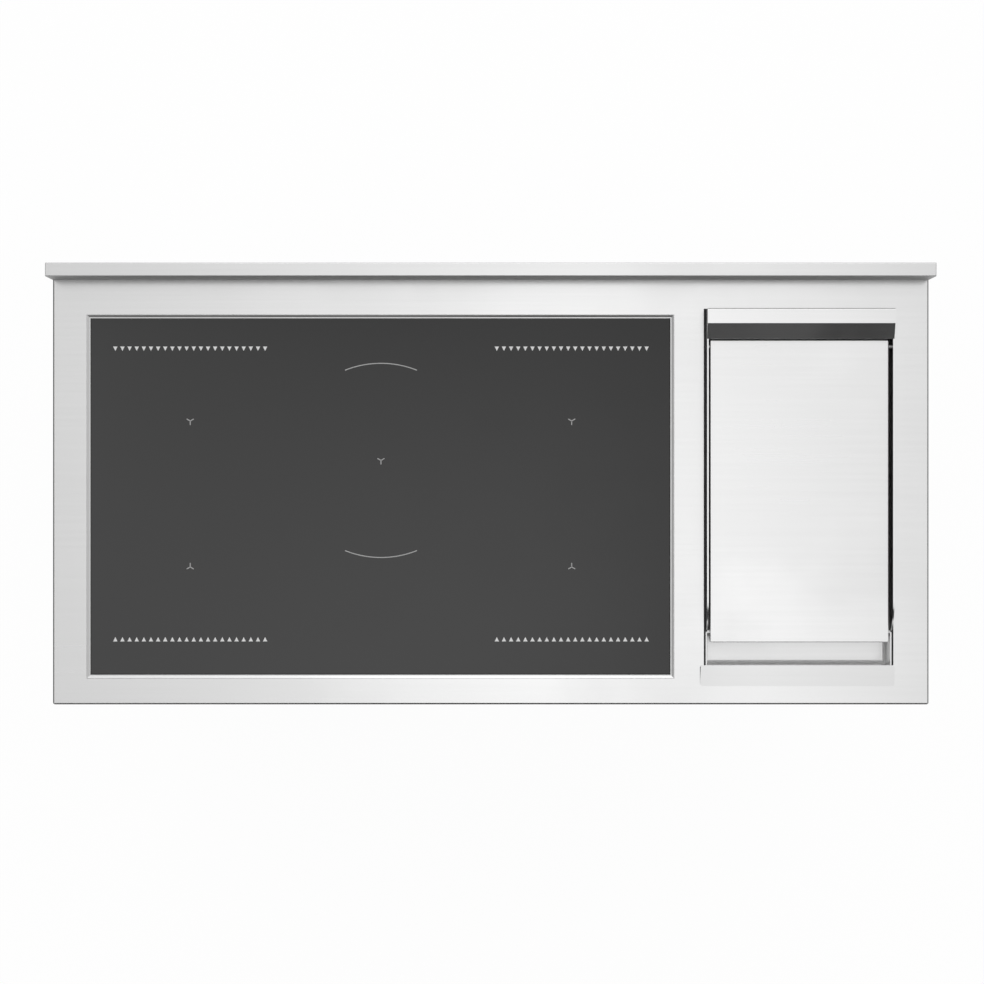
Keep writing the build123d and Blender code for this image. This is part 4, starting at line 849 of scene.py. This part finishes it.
# Painted light: the tub's rounded cove is lighter.
TUB_STEEL = BrushedSteel("tub_steel", tone=0.82, fold=1.18, fold_matt=0.9)
FRONT_STEEL = BrushedSteel("front_steel", tone=0.57, roughness=0.28)
HANDLE_STEEL = BrushedSteel("handle_steel", tone=0.7, roughness=0.22)
BEZEL_STEEL = BrushedSteel("bezel_steel", tone=0.72, roughness=0.28)
GRIDDLE_STEEL = BrushedSteel("griddle_steel", tone=0.5, roughness=0.38, axis=GrainAxis.DEPTH, warm=0.01)
KNOB_METAL = BrushedSteel("knob_metal", tone=0.58, roughness=0.22, axis=GrainAxis.DEPTH)
BRIGHT_WIRE = bright_metal("bright_wire", 0.78, 0.14)
DIAL_CHROME = bright_metal("dial_chrome", 0.8, 0.1)
PIN_STEEL = bright_metal("pin_steel", 0.6, 0.28)
MOTOR_METAL = bright_metal("motor_metal", 0.4, 0.4)
SIDE_PAINT = powder_coat("side_paint", (0.035, 0.035, 0.038), 0.5)
DRAWER_PAINT = powder_coat("drawer_paint", (0.05, 0.05, 0.052), 0.42)
BLACK_PLASTIC = moulded("black_plastic", (0.012, 0.012, 0.013), 0.5)
SEAL_RUBBER = moulded("seal_rubber", (0.02, 0.02, 0.021), 0.65)
WHITE_INK = ink("white_ink", (0.92, 0.92, 0.92), 0.45)
GREY_INK = ink("grey_ink", (0.5, 0.5, 0.5), 0.45)
BLACK_INK = ink("black_ink", (0.012, 0.012, 0.013), 0.25)
ZINC = Coating(
    "zinc_sheet",
    white(0.43),
    white(0.55),
    pattern=Pattern.CRYSTALS,
    scale=95.0,
    gloss=(0.38, 0.52),
    metallic=1.0,
)
ENAMEL = Coating(
    "oven_enamel",
    opaque((0.018, 0.02, 0.027)),
    opaque((0.2, 0.21, 0.23)),
    pattern=Pattern.SPECKS,
    scale=420.0,
    gloss=(0.14, 0.24),
    gloss_scale=12.0,
    relief=Relief(160.0, 0.0001, 0.2, octaves=1.0),
)
BOARD = Coating(
    "circuit_board",
    opaque((0.02, 0.12, 0.05)),
    opaque((0.05, 0.22, 0.1)),
    pattern=Pattern.TRACKS,
    scale=260.0,
    gloss=0.4,
)
WOOL = Coating(
    "mineral_wool",
    opaque((0.62, 0.55, 0.33)),
    opaque((0.5, 0.43, 0.24)),
    scale=60.0,
    gloss=0.95,
    relief=Relief(500.0, 0.004, octaves=6.0),
)
SHEATH = Coating(
    "element_sheath",
    opaque((0.07, 0.065, 0.06)),
    opaque((0.12, 0.085, 0.06)),
    scale=25.0,
    gloss=(0.4, 0.6),
    metallic=0.7,
)
OVEN_GLASS = Coating(
    "oven_glass", white(0.02), white(0.02 * 0.85), scale=9.0, gloss=(0.0, 0.02), through=1.0, ior=1.45
)
# The clock's glass gets the same painted light, only faintly.
DISPLAY_GLASS = HobGlass("display_glass", dark=0.004, light=0.006)
DIGIT_GLOW = LitDigits("digit_glow")


@dataclass
class Worktop:
    """The steel top, the upstand at its rear and the glass's bevelled frame."""

    def build(self) -> None:
        """Dresses the top."""
        dress(WORKTOP_STEEL, "worktop")
        dress(BACKGUARD_STEEL, "backguard")
        dress(BEZEL_STEEL, "glass_frame")


@dataclass
class Hob:
    """The black glass with its printed marks, and what lies under it."""

    shift_x: float = 0.7 * MM
    shift_y: float = 3.45 * MM
    zone_dx: float = 261.3 * MM
    zone_dy: float = 100 * MM
    row_dy: float = 199 * MM
    row_count: int = 22
    row_pitch: float = 9.77 * MM
    arrow: float = 6 * MM
    centre_dy: float = 46 * MM
    arc_radius: float = 133 * MM
    arc_half_angle: float = math.radians(21.7)
    arc_steps: int = 28
    arc_width: float = 1.3 * MM
    fork_length: float = 5.6 * MM
    fork_width: float = 1.3 * MM
    ink: float = 0.05 * MM
    bead_width: float = 0.75 * MM
    bead_drop: float = 0.4 * MM
    bead_depth: float = 0.6 * MM
    centre: Vector = field(init=False)
    zones: list[Spot] = field(init=False)

    def __post_init__(self) -> None:
        """Finds the marks' centre from the glass, and the middles of the five zones from there."""
        low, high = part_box("ceramic_glass")
        middle = (low + high) / 2
        self.centre = Vector((middle.x + self.shift_x, middle.y + self.shift_y, high.z))
        corners = [(x * self.zone_dx, y * self.zone_dy) for x, y in product(ENDS, ENDS)]
        self.zones = [*corners, (0.0, self.centre_dy)]

    def build(self) -> None:
        """Dresses the glass and prints its marks."""
        # The glass gets painted light, growing lighter towards one corner, measured from the marks'
        # centre.
        dress(HobGlass("hob_glass", centre=tuple(self.centre)), "ceramic_glass")
        self.print_arrows()
        self.print_zone_marks()
        self.add_bead()
        centres = tuple((self.centre.x + x, self.centre.y + y) for x, y in self.zones)
        dress(CoilWire("coil_wire", centres=centres), "induction_coils")
        dress(ZINC, "induction_tray")
        dress(BOARD, "induction_boards")
        dress(BLACK_PLASTIC, "cooling_fan_rotor")

    def printer(self) -> MeshMaker:
        """Returns a maker for marks on the glass, placed from the marks' centre."""
        return MeshMaker(lambda x, y: self.centre + Vector((x, y, 0.0)), Vector((0, 0, self.ink)))

    def add_bead(self) -> None:
        """Adds the thin black bead of sealant round the glass, on the flat rim of its frame."""
        low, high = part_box("ceramic_glass")
        maker = MeshMaker.level(high.z - self.bead_drop - self.bead_depth, self.bead_depth)
        sides = (low.x, high.x, low.y, high.y)
        maker.frame_ring(rectangle(*sides), rectangle(*sides, self.bead_width))
        maker.piece("glass_bead", "cooker", SEAL_RUBBER, "seal_rubber")

    def print_arrows(self) -> None:
        """Prints the four rows of small arrowheads, each pointing to the middle of the glass."""
        maker = self.printer()
        half = self.arrow / 2
        for side, end, i in product(ENDS, ENDS, range(self.row_count)):
            x = side * self.zone_dx + (i - (self.row_count - 1) / 2) * self.row_pitch
            y = end * self.row_dy
            maker.prism([(x - half, y + end * half), (x + half, y + end * half), (x, y - end * half)])
        maker.piece("printed_arrows", "cooker", WHITE_INK, "hob_glass")

    def print_zone_marks(self) -> None:
        """Prints the three-armed mark of each zone and the two arcs of the middle zone."""
        maker = self.printer()
        for x, y in self.zones:
            for tip in disc((x, y), self.fork_length, 3, math.pi if y > 0 else 0.0):
                maker.prism(stroke((x, y), tip, self.fork_width))
        angles = [self.arc_half_angle * (2 * i / self.arc_steps - 1) for i in range(self.arc_steps + 1)]
        centre, half = (0.0, self.centre_dy), self.arc_width / 2
        for middle in (0.0, math.pi):
            near, far = (
                [clock_spot(centre, self.arc_radius + end * half, middle + angle) for angle in angles]
                for end in ENDS
            )
            for i in range(self.arc_steps):
                maker.prism([near[i], near[i + 1], far[i + 1], far[i]])
        maker.piece("printed_zone_marks", "cooker", GREY_INK, "hob_glass")


@dataclass
class Griddle:
    """The sunk griddle with its lid, guard and trough."""

    flange: float = 12 * MM
    wall: float = 1.8 * MM
    gap_x: float = 2.6 * MM
    gap_y: float = 1.5 * MM
    seal_drop: float = 2.0 * MM
    seal_rise: float = 1.2 * MM

    def build(self) -> None:
        """Dresses the griddle's steel and seals the gap round its tub with a black bead, whose black also
        stands in for the gap's shade.
        """
        dress(LID_STEEL, "griddle_lid")
        dress(GUARD_STEEL, "splash_guard")
        dress(TUB_STEEL, "griddle_tub")
        dress(GRIDDLE_STEEL, "griddle_plate")
        dress(PIN_STEEL, "lid_hinge_pins")
        dress(SHEATH, "griddle_elements")
        self.add_seal()

    def add_seal(self) -> None:
        """Adds the black bead that fills the gap at the tub's sides and rear. Its black also stands in for
        the shade in that gap, as painted shade.
        """
        low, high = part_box("griddle_tub")
        left, right = low.x + self.flange, high.x - self.flange
        front, rear = low.y + self.flange + self.wall, high.y - self.flange
        inner = [(right, front), (right, rear), (left, rear), (left, front)]
        left, right, rear = left - self.gap_x, right + self.gap_x, rear + self.gap_y
        outer = [(left, front), (left, rear), (right, rear), (right, front)]
        # Partly painted shade: the black seal also stands in for the shade in the gap.
        maker = MeshMaker.level(high.z - self.seal_drop, self.seal_rise)
        maker.prism(outer + inner)
        maker.piece("griddle_seal_and_gap_shade", "cooker", SEAL_RUBBER, "seal_rubber")


@dataclass
class Casing:
    """The sides, rear, base, legs and plinth, with their screws and gland."""

    nut_radius: float = 19 * MM
    nut_depth: float = 6 * MM
    nut_bore: float = 15.4 * MM
    nut_edge: float = 0.6 * MM
    flat_steps: int = 4
    # The black cross of painted shade in each screw's recess.
    recess_reach: float = 2.4 * MM
    recess_width: float = 0.9 * MM
    recess_proud: float = 0.04 * MM
    screw_head: float = 8 * MM
    screw_rows: int = 5

    def build(self) -> None:
        """Dresses the casing and adds its nut and the painted shade of the screws' recesses."""
        dress(SIDE_PAINT, "left_side_panel", "right_side_panel")
        dress(ZINC, "rear_panel", "base_frame", "oven_divider", "terminal_box", "drawer_runners")
        dress(FRONT_STEEL, "plinth")
        dress(PIN_STEEL, "panel_screws", "leg_sleeves")
        dress(BLACK_PLASTIC, "levelling_feet")
        self.add_gland_nut()
        self.add_screw_recesses()

    def add_gland_nut(self) -> None:
        """Adds the six-sided nut that holds the gland against the rear panel."""
        centre = Vector(middle_of("terminal_box"))
        corners = [Vector(spot) for spot in disc(centre, self.nut_radius, 6, math.pi / 2)]
        shares = [step / self.flat_steps for step in range(self.flat_steps)]
        rim = [corners[i - 1].lerp(corner, share) for i, corner in enumerate(corners) for share in shares]
        bore = [centre + (point - centre).normalized() * self.nut_bore for point in rim]
        maker = MeshMaker.upright(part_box("rear_panel")[1].y, self.nut_depth)
        maker.frame_ring(bore, rim)
        nut = maker.piece("gland_nut", "cooker", BLACK_PLASTIC, "black_plastic")
        bevel = nut.modifiers.new("eased_edges", "BEVEL")
        bevel.width = self.nut_edge
        bevel.segments = 2

    def add_screw_recesses(self) -> None:
        """Adds a black cross in each screw's head, painted shade that stands in for the shade of its cross
        recess. Its second bar stands a little prouder.
        """
        low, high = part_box("panel_screws")
        radius = self.screw_head / 2
        step = (high.z - low.z - 2 * radius) / (self.screw_rows - 1)
        maker = MeshMaker.upright(high.y, self.recess_proud)
        for x, row in product((low.x + radius, high.x - radius), range(self.screw_rows)):
            z = low.z + radius + row * step
            for reach_x, reach_z, share in ((self.recess_reach, 0.0, 1.0), (0.0, self.recess_reach, 1.5)):
                bar = stroke((x - reach_x, z - reach_z), (x + reach_x, z + reach_z), self.recess_width)
                maker.prism(bar, share)
        maker.piece("screw_recess_shade", "cooker", BLACK_INK, "pin_steel")


@dataclass(frozen=True)
class Dial:
    """What is printed round one knob."""

    knob: str
    numbers: tuple[str, ...]
    ticks_between: int


LEVELS = tuple(str(i) for i in range(10))
HEATS = ("0", "50", "100", "150", "200", "250")
ZONES = ("rear_left", "front_left", "centre", "front_right", "rear_right")
DIALS = (
    Dial("knob_main_function", LEVELS[:7], 0),
    Dial("knob_main_temperature", HEATS, 4),
    *(Dial(f"knob_zone_{zone}", LEVELS, 1) for zone in ZONES),
    Dial("knob_griddle", HEATS, 4),
    Dial("knob_second_oven", HEATS, 4),
)


@dataclass
class ControlPanel:
    """The panel with its knobs, dials and clock."""

    turn: float = math.radians(300)
    number_radius: float = 38.5 * MM
    number_size: float = 5.6 * MM * 1.35
    tick_inner: float = 32.2 * MM
    tick_outer: float = 34.0 * MM
    tick_width: float = 0.7 * MM
    ink: float = 0.05 * MM
    grip_reach: float = 19.5 * MM
    pointer_reach: Span = (0.2, 0.85)
    pointer_width: float = 2.2 * MM
    pointer_inset: float = 1.0 * MM
    pointer_thickness: float = 0.25 * MM
    time: str = "1230"
    digit_height: float = 17 * MM
    digit_width: float = 9 * MM
    digit_gap: float = 5 * MM
    digit_places: tuple[float, ...] = (-1.75, -0.75, 0.75, 1.75)
    bar_width: float = 1.9 * MM
    bar_trim: float = 0.6
    colon_share: float = 0.75

    def build(self) -> None:
        """Dresses the controls and adds their markings."""
        dress(FRONT_STEEL, "control_panel")
        dress(DIAL_CHROME, "dial_rings")
        dress(DISPLAY_GLASS, "clock_display")
        dress(BLACK_PLASTIC, "control_switches")
        for dial in DIALS:
            dress(KNOB_METAL, dial.knob)
            self.print_dial(dial)
            self.add_pointer(dial.knob)
        self.light_clock()

    def print_dial(self, dial: Dial) -> None:
        """Prints the numbers and ticks round a knob.

        Args:
            dial: What to print.
        """
        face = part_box("control_panel")[0].y
        centre = middle_of(dial.knob)
        maker = MeshMaker.upright(face, -self.ink)
        steps = (len(dial.numbers) - 1) * (dial.ticks_between + 1)
        for i in range(steps + 1):
            angle = self.turn * i / steps
            major = i % (dial.ticks_between + 1) == 0
            outer = self.tick_outer if major else (self.tick_inner + self.tick_outer) / 2
            ends = [clock_spot(centre, radius, angle) for radius in (self.tick_inner, outer)]
            maker.prism(stroke(*ends, self.tick_width))
        for i, text in enumerate(dial.numbers):
            angle = self.turn * i / (len(dial.numbers) - 1)
            self.stamp_text(maker.mesh, text, clock_spot(centre, self.number_radius, angle), face)
        maker.piece(dial.knob.replace("knob_", "dial_print_"), "cooker", BLACK_INK, "front_steel")

    def stamp_text(self, mesh: bmesh.types.BMesh, text: str, spot: Spot, face: float) -> None:
        """Adds a number's outline to a mesh, upright on the panel.

        Args:
            mesh: The mesh to add to.
            text: The number.
            spot: Its middle.
            face: The panel's front plane.
        """
        curve = bpy.data.curves.new("number", "FONT")
        curve.body = text
        curve.size = self.number_size
        curve.extrude = self.ink / 2
        curve.align_x = "CENTER"
        curve.align_y = "CENTER"
        holder = bpy.data.objects.new("number", curve)
        data = bpy.data.meshes.new_from_object(holder)
        place = Matrix.Translation((spot[0], face - self.ink / 2, spot[1]))
        data.transform(place @ Matrix.Rotation(math.pi / 2, 4, "X"))
        mesh.from_mesh(data)
        bpy.data.objects.remove(holder)
        bpy.data.curves.remove(curve)
        bpy.data.meshes.remove(data)

    def add_pointer(self, knob: str) -> None:
        """Adds the white inlay on the rib of a knob.

        Args:
            knob: The knob's node and body.
        """
        x, z = middle_of(knob)
        start, end = (z + share * self.grip_reach for share in self.pointer_reach)
        maker = MeshMaker.upright(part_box(knob)[0].y, -self.pointer_thickness)
        ends = ((x, start + self.pointer_inset), (x, end - self.pointer_inset))
        maker.prism(stroke(*ends, self.pointer_width))
        maker.piece(knob.replace("knob_", "pointer_"), knob, WHITE_INK, "knob_metal")

    def light_clock(self) -> None:
        """Adds the clock's glowing digits, built of bars."""
        shapes = {"0": "abcdef", "1": "bc", "2": "abged", "3": "abgcd"}
        bars = {"a": (0, 1), "b": (1, 3), "c": (3, 5), "d": (4, 5), "e": (2, 4), "f": (0, 2), "g": (2, 3)}
        w, h = self.digit_width / 2, self.digit_height / 2
        corners = [Vector((x, z)) for z, x in product((h, 0.0, -h), (-w, w))]
        centre = Vector(middle_of("clock_display"))
        pitch = self.digit_width + self.digit_gap
        maker = MeshMaker.upright(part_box("clock_display")[0].y, -self.ink)
        for digit, place in zip(self.time, self.digit_places):
            for bar in shapes[digit]:
                start, end = (centre + Vector((place * pitch, 0.0)) + corners[k] for k in bars[bar])
                trim = (end - start).normalized() * self.bar_width * self.bar_trim
                maker.prism(stroke(start + trim, end - trim, self.bar_width))
        for z in (-h / 2, h / 2):
            maker.prism(disc((centre.x, centre.y + z), self.bar_width * self.colon_share, 12))
        maker.piece("clock_digits", "cooker", DIGIT_GLOW, "display_glass")


@dataclass
class OvenDoor:
    """A drop-down door with its window, its handle and the dark print round the glass."""

    name: str
    pane_lap: float = 15 * MM
    print_width: float = 17 * MM
    dot_pitch: float = 7 * MM
    dot_radius: float = 1.7 * MM
    dot_sides: int = 8
    dot_shares: tuple[float, ...] = (1.0, 0.62, 0.34)
    first_row: float = 0.6
    row_step: float = 0.85
    ink: float = 0.05 * MM

    def build(self) -> None:
        """Dresses the door and prints the border of its window."""
        dress(FRONT_STEEL, f"{self.name}_door_panel")
        dress(OVEN_GLASS, f"{self.name}_door_glass")
        dress(ENAMEL, f"{self.name}_door_liner")
        dress(HANDLE_STEEL, f"{self.name}_door_handle")
        self.print_border()

    def print_border(self) -> None:
        """Prints a solid border on the outer pane, with rows of dots that fade into the window."""
        low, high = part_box(f"{self.name}_door_glass")
        maker = MeshMaker.upright(low.y, -self.ink)
        sides = (low.x, high.x, low.z, high.z)
        outer = rectangle(*sides, -self.pane_lap)
        maker.frame_ring(rectangle(*sides, -self.pane_lap - self.print_width), outer)
        for row, share in enumerate(self.dot_shares):
            inset = self.print_width + self.dot_pitch * (self.first_row + row * self.row_step)
            (left, bottom), _, (right, top), _ = rectangle(*sides, -self.pane_lap - inset)
            across, up = int((right - left) / self.dot_pitch), int((top - bottom) / self.dot_pitch)
            step_x, step_z = (right - left) / across, (top - bottom) / up
            spots = [(left + i * step_x, z) for i in range(across + 1) for z in (bottom, top)]
            spots += [(x, bottom + i * step_z) for i in range(1, up) for x in (left, right)]
            for spot in spots:
                maker.prism(disc(spot, self.dot_radius * share, self.dot_sides))
        maker.piece(f"{self.name}_window_border", f"{self.name}_door", BLACK_INK, "door_glass")


@dataclass
class Ovens:
    """The two ovens and what is in and round them."""

    def build(self) -> None:
        """Dresses the ovens."""
        dress(ENAMEL, "main_oven_cavity", "second_oven_cavity", "front_frame", "fan_cover")
        dress(WOOL, "oven_insulation")
        dress(BRIGHT_WIRE, "shelf_rails", "oven_shelves")
        dress(SHEATH, "oven_elements")
        dress(MOTOR_METAL, "fan_motor", "oven_fan")
        dress(SEAL_RUBBER, "door_gaskets")


@dataclass
class Drawer:
    """The storage drawer under the ovens."""

    def build(self) -> None:
        """Dresses the drawer."""
        dress(DRAWER_PAINT, "drawer_box")
        dress(FRONT_STEEL, "drawer_front")
        dress(HANDLE_STEEL, "drawer_handle")


@dataclass(frozen=True)
class TentPatch:
    """A lighter or darker part of the light tent: its way, its soft rim and what it adds."""

    way: Way
    rim: Span
    adds: Span


@dataclass
class Studio:
    """The floor, the light and the camera."""

    camera_x: float = 1.7 * MM
    camera_y: float = -8.8 * MM
    camera_rise: float = 2.661
    camera_far: float = 100.0
    frame_width: float = 1.3471
    sensor: float = 36.0
    floor_radius: float = 40.0
    floor_sides: int = 96
    floor_tone: float = 0.85
    floor_glow: float = 1.03
    floor_show: float = 0.92
    lamp_power: float = 10.0
    lamp_size: Span = (2.4, 1.6)
    lamp_place: Way = (0.2, 2.4, 3.4)
    lamp_aim: Way = (0.0, 0.0, 0.6)
    sky: float = 0.825
    sky_least: float = 0.03
    glow: float = 0.74
    glow_place: Spot = (0.052, -0.028)
    glow_reach: Spot = (0.26, 0.32)
    least_rise: float = 0.1
    front_patch: TentPatch = TentPatch((0.0, -0.62, 0.78), (0.9, 0.97), (0.0, -1.0))
    rear_patch: TentPatch = TentPatch((0.0, 0.72, 0.69), (0.9, 0.98), (0.0, 0.3))
    left_patch: TentPatch = TentPatch((-0.7, 0.0, 0.71), (0.89, 0.98), (0.0, -0.5))
    right_patch: TentPatch = TentPatch((0.7, 0.0, 0.71), (0.82, 0.95), (0.0, -0.2))
    low_band: TentPatch = TentPatch(UP, (0.05, 0.6), (-0.6, 0.0))

    def build(self) -> None:
        """Sets up the studio round the cooker."""
        self.add_floor()
        self.add_sky()
        self.add_key_lamp()
        self.add_camera()
        bpy.context.scene.view_settings.view_transform = "Standard"

    def add_floor(self) -> None:
        """Adds a white floor that keeps a soft shadow and shows white to the camera."""
        mesh = bmesh.new()
        rim = disc((0.0, 0.0), self.floor_radius, self.floor_sides)
        mesh.faces.new([mesh.verts.new((x, y, 0.0)) for x, y in reversed(rim)])
        floor = placed("studio_floor", mesh)
        material = bpy.data.materials.new("studio_floor")
        material.use_nodes = True
        graph = Graph(material.node_tree)
        lit = graph.add("ShaderNodeBsdfDiffuse", {"Color": white(self.floor_tone)}).outputs[0]
        glow = {"Color": white(1.0), "Strength": self.floor_glow}
        shown = graph.add("ShaderNodeEmission", glow).outputs[0]
        seen = graph.maths("MULTIPLY", self.seen_directly(graph), self.floor_show)
        mixed = graph.add("ShaderNodeMixShader", {0: seen, 1: lit, 2: shown}).outputs[0]
        graph.add("ShaderNodeOutputMaterial", {"Surface": mixed})
        floor.data.materials.append(material)

    @staticmethod
    def seen_directly(graph: Graph) -> Socket:
        """Returns a socket that is 1 for rays from the camera, from gloss and through glass."""
        path = graph.add("ShaderNodeLightPath").outputs
        gloss = graph.maths("MAXIMUM", path["Is Glossy Ray"], path["Is Transmission Ray"])
        return graph.maths("MAXIMUM", path["Is Camera Ray"], gloss)

    def add_sky(self) -> None:
        """Adds the light tent: white to the camera, with a bright top and its patches."""
        world = bpy.data.worlds.new("light_tent")
        bpy.context.scene.world = world
        world.use_nodes = True
        graph = Graph(world.node_tree)
        way = graph.add("ShaderNodeTexCoord").outputs["Generated"]
        steep = graph.maths("MAXIMUM", graph.vector("DOT_PRODUCT", way, UP), self.least_rise)
        falls = []
        levels = (1.0, self.glow)
        for axis, place, reach, level in zip((RIGHT, BACK), self.glow_place, self.glow_reach, levels):
            slope = graph.maths("DIVIDE", graph.vector("DOT_PRODUCT", way, axis), steep)
            off = graph.maths("ABSOLUTE", graph.maths("SUBTRACT", slope, place))
            falls.append(graph.spread(off, (0.0, reach), (level, 0.0)))
        light = graph.total(graph.maths("MULTIPLY", *falls), self.sky)
        for patch in (self.rear_patch, self.left_patch, self.right_patch, self.front_patch, self.low_band):
            facing = graph.vector("DOT_PRODUCT", way, patch.way)
            light = graph.total(light, graph.spread(facing, patch.rim, patch.adds))
        strength = graph.maths("MAXIMUM", light, self.sky_least)
        tent, plain = (
            graph.add("ShaderNodeBackground", {"Color": white(1.0), "Strength": power}).outputs[0]
            for power in (strength, 1.0)
        )
        camera = graph.add("ShaderNodeLightPath").outputs["Is Camera Ray"]
        mixed = graph.add("ShaderNodeMixShader", {0: camera, 1: tent, 2: plain}).outputs[0]
        graph.add("ShaderNodeOutputWorld", {"Surface": mixed})

    def add_key_lamp(self) -> None:
        """Adds a large soft lamp above and behind, to the right."""
        lamp = bpy.data.lights.new("key_lamp", "AREA")
        lamp.shape = "RECTANGLE"
        lamp.size, lamp.size_y = self.lamp_size
        lamp.energy = self.lamp_power
        holder = linked("key_lamp", lamp)
        holder.location = self.lamp_place
        aim = Vector(self.lamp_aim) - holder.location
        holder.rotation_euler = aim.to_track_quat("-Z", "Y").to_euler()

    def add_camera(self) -> None:
        """Adds the camera straight above the worktop, with a long lens."""
        data = bpy.data.cameras.new("camera")
        data.sensor_width = self.sensor
        data.lens = self.sensor * self.camera_rise / self.frame_width
        data.clip_end = self.camera_far
        camera = linked("camera", data)
        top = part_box("worktop")[1].z
        camera.location = (self.camera_x, self.camera_y, top + self.camera_rise)
        bpy.context.scene.camera = camera


def main() -> None:
    """Builds the cooker's looks in order."""
    logging.basicConfig(level=logging.INFO, format="%(message)s")
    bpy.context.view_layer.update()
    for assembly in (
        Worktop(),
        Hob(),
        Griddle(),
        Casing(),
        ControlPanel(),
        OvenDoor("main"),
        OvenDoor("second"),
        Ovens(),
        Drawer(),
        Studio(),
    ):
        assembly.build()
        LOG.info("%s done", type(assembly).__name__)


if __name__ == "__main__":
    main()
